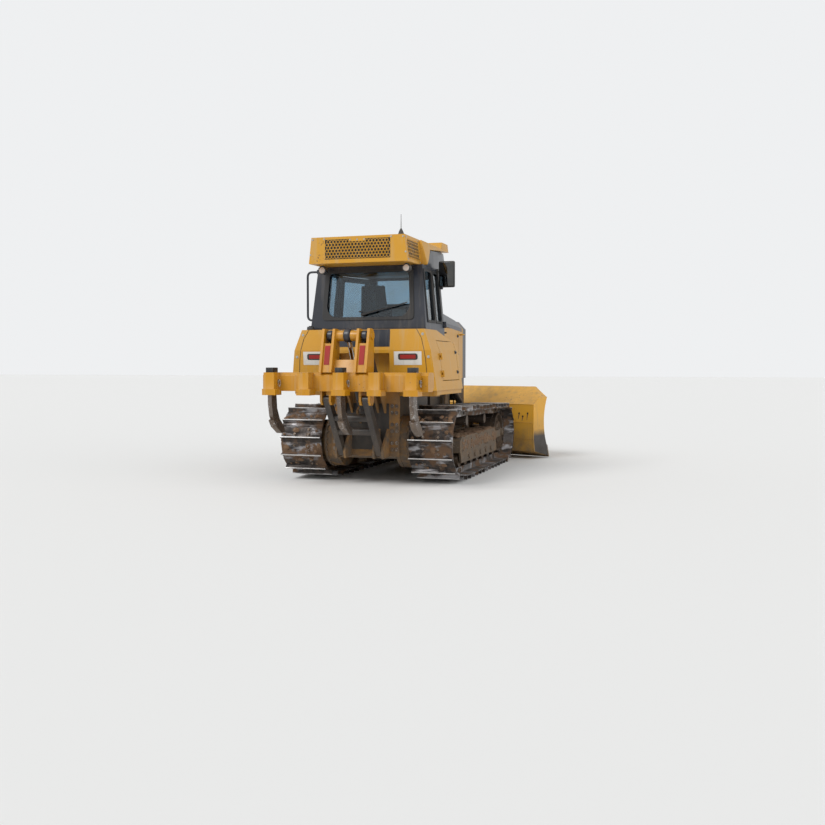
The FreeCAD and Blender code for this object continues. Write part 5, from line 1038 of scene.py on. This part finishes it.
# Undercarriage fittings: a bolted flange round each final drive, a hub cap and bolts on sprocket and
# idler, caps on the rollers' ends, and a bolted guard along the track frame with earth on its ledge.
drive_centre = Vector((-1.55, 0, 0.56))
idler_centre = Vector((1.55, 0, 0.50))
caps = bmesh.new()
cap_bolts = bmesh.new()
steel_bolts = bmesh.new()
guards = bmesh.new()
for side in (1, -1):
    across = Matrix.Rotation(-side * math.pi / 2, 4, "X")
    for y, radius, wide in ((0.600, 0.372, 0.030), (0.470, 0.366, 0.012)):
        bmesh.ops.create_cone(caps, cap_ends=True, segments=64, radius1=radius, radius2=radius, depth=wide,
                              matrix=Matrix.Translation(drive_centre + Vector((0, side * y, 0))) @ across)
    for k in range(24):
        turn = 2 * math.pi * (k + 0.5) / 24
        spoke = Vector((math.cos(turn), 0, math.sin(turn)))
        bolt(cap_bolts, drive_centre + spoke * 0.366 + Vector((0, side * 0.586, 0)), (0, -side, 0), 0.012, 0.014)
    for k in range(12):
        turn = 2 * math.pi * k / 12
        spoke = Vector((math.cos(turn), 0, math.sin(turn)))
        spot, out = touch("sprockets", drive_centre + spoke * 0.235 + Vector((0, side * 2.5, 0)), (0, -side, 0))
        bolt(steel_bolts, spot, out, 0.016, 0.014)
    for centre, node, radius in ((drive_centre, "sprockets", 0.15), (idler_centre - Vector((0.03, 0, 0)), "track_frames", 0.062)):
        spot, out = touch(node, centre + Vector((0.005, side * 2.5, 0.003)), (0, -side, 0))
        bmesh.ops.create_cone(caps, cap_ends=True, segments=40, radius1=radius, radius2=radius * 0.86, depth=0.032,
                              matrix=Matrix.Translation((spot.x, spot.y + side * 0.014, spot.z)) @ across)
        for k in range(6):
            turn = 2 * math.pi * k / 6
            bolt(cap_bolts, spot + Vector((math.cos(turn), 0, math.sin(turn))) * radius * 0.68 + Vector((0, side * 0.028, 0)),
                 (0, side, 0), 0.010, 0.009)
    for k in range(1, 6):
        x = -0.98 + 0.35 * k
        spot, out = touch("track_frames", (x, side * 2.5, 0.30), (0, -side, 0))
        bmesh.ops.create_cone(caps, cap_ends=True, segments=28, radius1=0.046, radius2=0.038, depth=0.024,
                              matrix=Matrix.Translation(spot + Vector((0, side * 0.010, 0))) @ across)
        for turn in (0.8, 2.4, 3.9, 5.5):
            bolt(cap_bolts, spot + Vector((math.cos(turn) * 0.064, 0, math.sin(turn) * 0.040)), (0, side, 0), 0.009, 0.008)
    slab(guards, (-1.02, side * 1.1215 - 0.0035, 0.385), (0.42, side * 1.1215 + 0.0055, 0.565))
    slab(guards, (0.45, side * 1.1215 - 0.0035, 0.385), (1.00, side * 1.1215 + 0.0055, 0.565))
    for x in (-0.98, -0.51, -0.04, 0.38, 0.49, 0.96):
        for z in (0.408, 0.542):
            bolt(cap_bolts, (x, side * 1.127, z), (0, side, 0), 0.013, 0.011)
soften(guards, 0.003, 2, 60)
soften(caps, 0.003, 2, 60)
put(caps, "undercarriage_caps", caked_and_shaded_paint, "root", 40)
put(guards, "track_frame_guards", caked_and_shaded_paint, "root")
put(cap_bolts, "undercarriage_bolts", worn_steel, "root")
put(steel_bolts, "sprocket_bolts", worn_steel, "root")

caked = bmesh.new()
for side in (1, -1):
    for _ in range(240):
        x = chance.uniform(-1.02, 1.05)
        y = side * chance.uniform(0.80, 1.10)
        spot, out = touch("track_frames", (x, y, 0.66), (0, 0, -1))
        if spot.z < 0.52:
            continue
        size = chance.uniform(0.018, 0.060)
        blob = bmesh.ops.create_icosphere(caked, subdivisions=2, radius=size,
                                          matrix=Matrix.Translation(spot) @ Matrix.Diagonal((1.4, 1.0, 0.5, 1)))
        for vert in blob["verts"]:
            vert.co += (vert.co - spot) * chance.uniform(-0.20, 0.20)
    for _ in range(150):
        x = chance.uniform(-1.0, 1.1)
        spot, out = touch("track_frames", (x, side * 2.5, chance.uniform(0.42, 0.55)), (0, -side, 0))
        size = chance.uniform(0.012, 0.038)
        blob = bmesh.ops.create_icosphere(caked, subdivisions=2, radius=size,
                                          matrix=Matrix.Translation(spot) @ Matrix.Diagonal((1.6, 0.45, 1.0, 1)))
        for vert in blob["verts"]:
            vert.co += (vert.co - spot) * chance.uniform(-0.20, 0.20)
put(caked, "track_frame_mud", mud, "root", 60)

# Ripper frame bolts: two square groups of large bolts on each wing of the frame's rear plate, which
# hold it to the rear of the drive case.
frame_bolts = bmesh.new()
for side in (1, -1):
    for z in (0.52, 0.77, 1.02):
        for dy in (-0.032, 0.032):
            for dz in (-0.045, 0.045):
                spot, out = touch("ripper_frame", (-3.0, side * 0.420 + dy, z + dz), (1, 0, 0))
                bolt(frame_bolts, spot, out, 0.019, 0.018)
put(frame_bolts, "ripper_frame_bolts", worn_steel, "root")

# Seat: a sprung operator's seat with a foam pad and back in dark woven cloth, sewn in channels.
# The two cushions are swelled by air pressure in a cloth run, then grooved along their seams.
def stuffed(mesh, name, most):
    """Swells a closed shape like a filled cushion; no point moves further than most."""
    data = bpy.data.meshes.new(name)
    mesh.to_mesh(data)
    mesh.free()
    piece = bpy.data.objects.new(name, data)
    bpy.context.scene.collection.objects.link(piece)
    fine = piece.modifiers.new("fine", "REMESH")
    fine.mode = "VOXEL"
    fine.voxel_size = 0.009
    start = bpy.data.meshes.new_from_object(piece.evaluated_get(bpy.context.evaluated_depsgraph_get()))
    piece.modifiers.clear()
    piece.data = start
    swelled = bmesh.new()
    swelled.from_mesh(start)
    cloth = piece.modifiers.new("air", "CLOTH").settings
    cloth.use_pressure = True
    cloth.uniform_pressure_force = 4.0
    cloth.effector_weights.gravity = 0.0
    for step in range(1, 21):
        bpy.context.scene.frame_set(step)
    filled = piece.evaluated_get(bpy.context.evaluated_depsgraph_get()).data
    for vert, moved in zip(swelled.verts, filled.vertices):
        push = moved.co - vert.co
        vert.co += push * min(1.0, most / max(push.length, 1e-6))
    bpy.context.scene.frame_set(1)
    bpy.data.objects.remove(piece)
    bmesh.ops.smooth_vert(swelled, verts=swelled.verts, factor=0.5, use_axis_x=True, use_axis_y=True, use_axis_z=True)
    return swelled


def groove(mesh, place, wide, deep):
    """Presses a sewn channel into a cushion; place gives a vertex's distance from the seam."""
    mesh.normal_update()
    pushes = [(vert, vert.normal * deep * math.exp(-(place(vert.co) / wide) ** 2)) for vert in mesh.verts]
    for vert, push in pushes:
        vert.co -= push


seat_cloth = weathered("seat_cloth", (0.030, 0.031, 0.035, 1), (0.046, 0.047, 0.051, 1), (0.12, 0.10, 0.08, 1),
                       2.4, 1.8, 0.25, (0.05, 0.05, 0.05, 1), 0.99, 0.88)
weave_tree = seat_cloth.node_tree
threads = add_node(weave_tree, "ShaderNodeTexVoronoi",
                   {"Vector": add_node(weave_tree, "ShaderNodeTexCoord").outputs["Object"], "Scale": 420.0})
weave = add_node(weave_tree, "ShaderNodeBump", {"Height": threads.outputs["Distance"], "Strength": 0.5, "Distance": 0.001})
weave_tree.links.new(weave.outputs[0], weave_tree.nodes["Principled BSDF"].inputs["Normal"])
pad_shape = bmesh.new()
prism(pad_shape, [(-1.555, 0.228, 1.998), (-1.105, 0.228, 1.998), (-1.105, 0.228, 2.076), (-1.555, 0.228, 2.062)], (0, -0.456, 0))
soften(pad_shape, 0.028, 4, 60)
pad = stuffed(pad_shape, "pad_shape", 0.014)
for seam_y in (-0.125, 0.125):
    groove(pad, lambda spot: abs(spot.y - seam_y) + max(0.0, 2.03 - spot.z), 0.010, 0.009)
for seam_x in (-1.44, -1.32, -1.20):
    groove(pad, lambda spot: abs(spot.x - seam_x) + max(0.0, abs(spot.y) - 0.125) + max(0.0, 2.03 - spot.z), 0.009, 0.007)
pad_piece = put(pad, "seat_pad", seat_cloth, "root", 80)
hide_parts("seat_cushion")
back_shape = bmesh.new()
prism(back_shape, [(-1.578, 0.226, 2.132), (-1.502, 0.226, 2.132), (-1.594, 0.226, 2.732), (-1.660, 0.226, 2.732)],
      (0, -0.452, 0))
for vert in back_shape.verts:
    if vert.co.z > 2.5:
        vert.co.y *= 0.80
soften(back_shape, 0.028, 4, 60)
rest = stuffed(back_shape, "back_shape", 0.014)
for seam_y in (-0.12, 0.12):
    groove(rest, lambda spot: abs(spot.y - seam_y) + max(0.0, -1.56 - spot.x - (spot.z - 2.13) * 0.14), 0.010, 0.008)
for seam_z in (2.27, 2.40, 2.53):
    groove(rest, lambda spot: abs(spot.z - seam_z) + max(0.0, abs(spot.y) - 0.12), 0.009, 0.006)
rest_piece = put(rest, "seat_back", seat_cloth, "root", 80)

# Seat trim and controls: armrest pads, ball grips on the levers and a small dark monitor on the
# front panel.
trim = bmesh.new()
for side in (1, -1):
    slab(trim, (-1.52, side * 0.335 - 0.045, 2.232), (-1.06, side * 0.335 + 0.045, 2.262))
    bmesh.ops.create_uvsphere(trim, u_segments=20, v_segments=14, radius=0.036,
                              matrix=Matrix.Translation((-1.042, side * 0.350, 2.385)))
    for k in range(4):
        bmesh.ops.create_cone(trim, cap_ends=True, segments=20, radius1=0.034, radius2=0.027, depth=0.012,
                              matrix=Matrix.Translation((-1.058, side * 0.350, 2.258 + 0.018 * k)))
slab(trim, (-0.56, -0.15, 2.30), (-0.52, 0.11, 2.47))
soften(trim, 0.006, 3, 60)
put(trim, "cab_trim", rubber, "root", 50)
display = bmesh.new()
slab(display, (-0.564, -0.132, 2.318), (-0.559, 0.092, 2.452))
put(display, "monitor_face", mirror_glass, "root")

# Blade corner plates: a flat plate welded over each cut upper corner closes the hollow back.
corner_plates = bmesh.new()
for side in (1, -1):
    outline = [on_blade(0.672, side * 1.331, 1.236), on_blade(0.716, side * 1.331, 1.236),
               on_blade(0.590, side * 1.626, 1.059), on_blade(0.372, side * 1.626, 1.059)]
    prism(corner_plates, outline, on_blade(0, -side * 0.0062, -0.0103) - on_blade(0, 0, 0))
put(corner_plates, "blade_corner_plates", sunlit_blade_paint, blade_body)

# Rear shade sheet: a dark sheet laid on the ripper frame's rear plate between the brackets, under the
# cylinder, as painted shade for the deep shadow there.
painted_shade_sheet = bmesh.new()
spot, out = touch("ripper_frame", (-3.0, 0.0, 0.62), (1, 0, 0))
slab(painted_shade_sheet, (spot.x - 0.004, -0.345, 0.47), (spot.x - 0.0005, 0.345, 1.10))
put(painted_shade_sheet, "rear_painted_shade_sheet", rubber, "root")

# Radiator core and fan shroud: thin upright fins in a dark frame, seen behind the guard's bars.
core = bmesh.new()
slab(core, (1.60, -0.355, 1.02), (1.64, 0.355, 2.12))
for k in range(47):
    y = -0.345 + 0.015 * k
    slab(core, (1.64, y - 0.002, 1.05), (1.652, y + 0.002, 2.09))
for z in (1.03, 1.57, 2.10):
    slab(core, (1.638, -0.355, z - 0.014), (1.662, 0.355, z + 0.014))
put(core, "radiator_core", barrel_paint, "root")

# Cylinder fittings: a gland nut with two rings at each barrel's mouth, a port block at each end and
# a rigid steel pipe clamped along the barrel. They move with their barrels.
def dress_cylinder(name, base, eye, mouth, radius, lean, body):
    """Adds gland, ports and pipe to one barrel; lean turns the pipe round the barrel's axis."""
    base = Vector(base)
    way = (Vector(eye) - base).normalized()
    up = Matrix.Rotation(lean, 3, way) @ way.cross(Vector((0, 1, 0))).normalized()
    turn = way.to_track_quat("Z", "Y").to_matrix().to_4x4()
    rings = bmesh.new()
    for along, r, wide in ((mouth - 0.030, radius + 0.007, 0.050), (mouth - 0.070, radius + 0.004, 0.012), (0.20, radius + 0.005, 0.020)):
        bmesh.ops.create_cone(rings, cap_ends=True, segments=36, radius1=r, radius2=r, depth=wide,
                              matrix=Matrix.Translation(base + way * along) @ turn)
    for along in (0.24, mouth - 0.105):
        port = base + way * along + up * (radius + 0.010)
        bmesh.ops.create_cone(rings, cap_ends=True, segments=6, radius1=0.020, radius2=0.018, depth=0.036,
                              matrix=Matrix.Translation(port) @ up.to_track_quat("Z", "Y").to_matrix().to_4x4())
    soften(rings, 0.002, 2, 60)
    put(rings, name + "_gland", barrel_paint, body, 40)
    pipe = bmesh.new()
    high = radius + 0.034
    tube(pipe, bent([base + way * 0.24 + up * (radius + 0.02), base + way * 0.24 + up * high,
                     base + way * (mouth - 0.105) + up * high, base + way * (mouth - 0.105) + up * (radius + 0.02)],
                    0.012, 4), 0.0075, 10)
    for share in (0.48, 0.70):
        clamp = base + way * (mouth * share) + up * (radius + 0.017)
        slab(pipe, clamp - Vector((0.014, 0.014, 0.014)), clamp + Vector((0.014, 0.014, 0.014)))
    put(pipe, name + "_pipe", slate_paint, body, 40)


for side, name in ((1, "left"), (-1, "right")):
    dress_cylinder("lift_" + name, (0.70, side * 0.46, 1.32), (1.95, side * 0.46, 0.66), 0.925, 0.050, 0.0, "lift_barrels")
dress_cylinder("ripper", (-2.022, 0.0, 0.98), tuple(upper_pin), 0.655, 0.062, math.pi, "ripper_barrel")

# Top and side fittings: a clamp and heat shield on the exhaust, a fuel cap on a side box, and the
# screws of the roof's visor.
fittings = bmesh.new()
bmesh.ops.create_cone(fittings, cap_ends=True, segments=36, radius1=0.071, radius2=0.071, depth=0.035,
                      matrix=Matrix.Translation((0.76, -0.13, 2.665)))
slab(fittings, (0.82, -0.145, 2.650), (0.855, -0.115, 2.680))
for k in range(3):
    bmesh.ops.create_cone(fittings, cap_ends=True, segments=36, radius1=0.1005, radius2=0.1005, depth=0.010,
                          matrix=Matrix.Translation((0.76, -0.13, 2.505 + 0.035 * k)))
soften(fittings, 0.002, 1, 60)
put(fittings, "exhaust_clamps", slate_paint, "root", 40)
caps_top = bmesh.new()
spot, out = touch("rear_body", (-1.975, 0.79, 2.5), (0, 0, -1))
turn = out.to_track_quat("Z", "Y").to_matrix().to_4x4()
bmesh.ops.create_cone(caps_top, cap_ends=True, segments=32, radius1=0.055, radius2=0.048, depth=0.05,
                      matrix=Matrix.Translation(spot + out * 0.024) @ turn)
slab(caps_top, spot + out * 0.045 - Vector((0.045, 0.010, 0.004)), spot + out * 0.045 + Vector((0.045, 0.010, 0.014)))
soften(caps_top, 0.004, 2, 60)
put(caps_top, "fuel_cap", black_plastic, "root", 40)
visor_screws = bmesh.new()
for y in (-0.62, -0.38, -0.12, 0.12, 0.38, 0.62):
    bolt(visor_screws, (-0.40, y, roof_high[2]), (0, 0, 1), 0.010, 0.007)
for side in (1, -1):
    for x in (-1.50, -1.10, -0.70):
        bolt(visor_screws, (x, side * 0.60, roof_deck_z - 0.008), (0, 0, 1), 0.010, 0.010)
put(visor_screws, "roof_screws", zinc, "root")
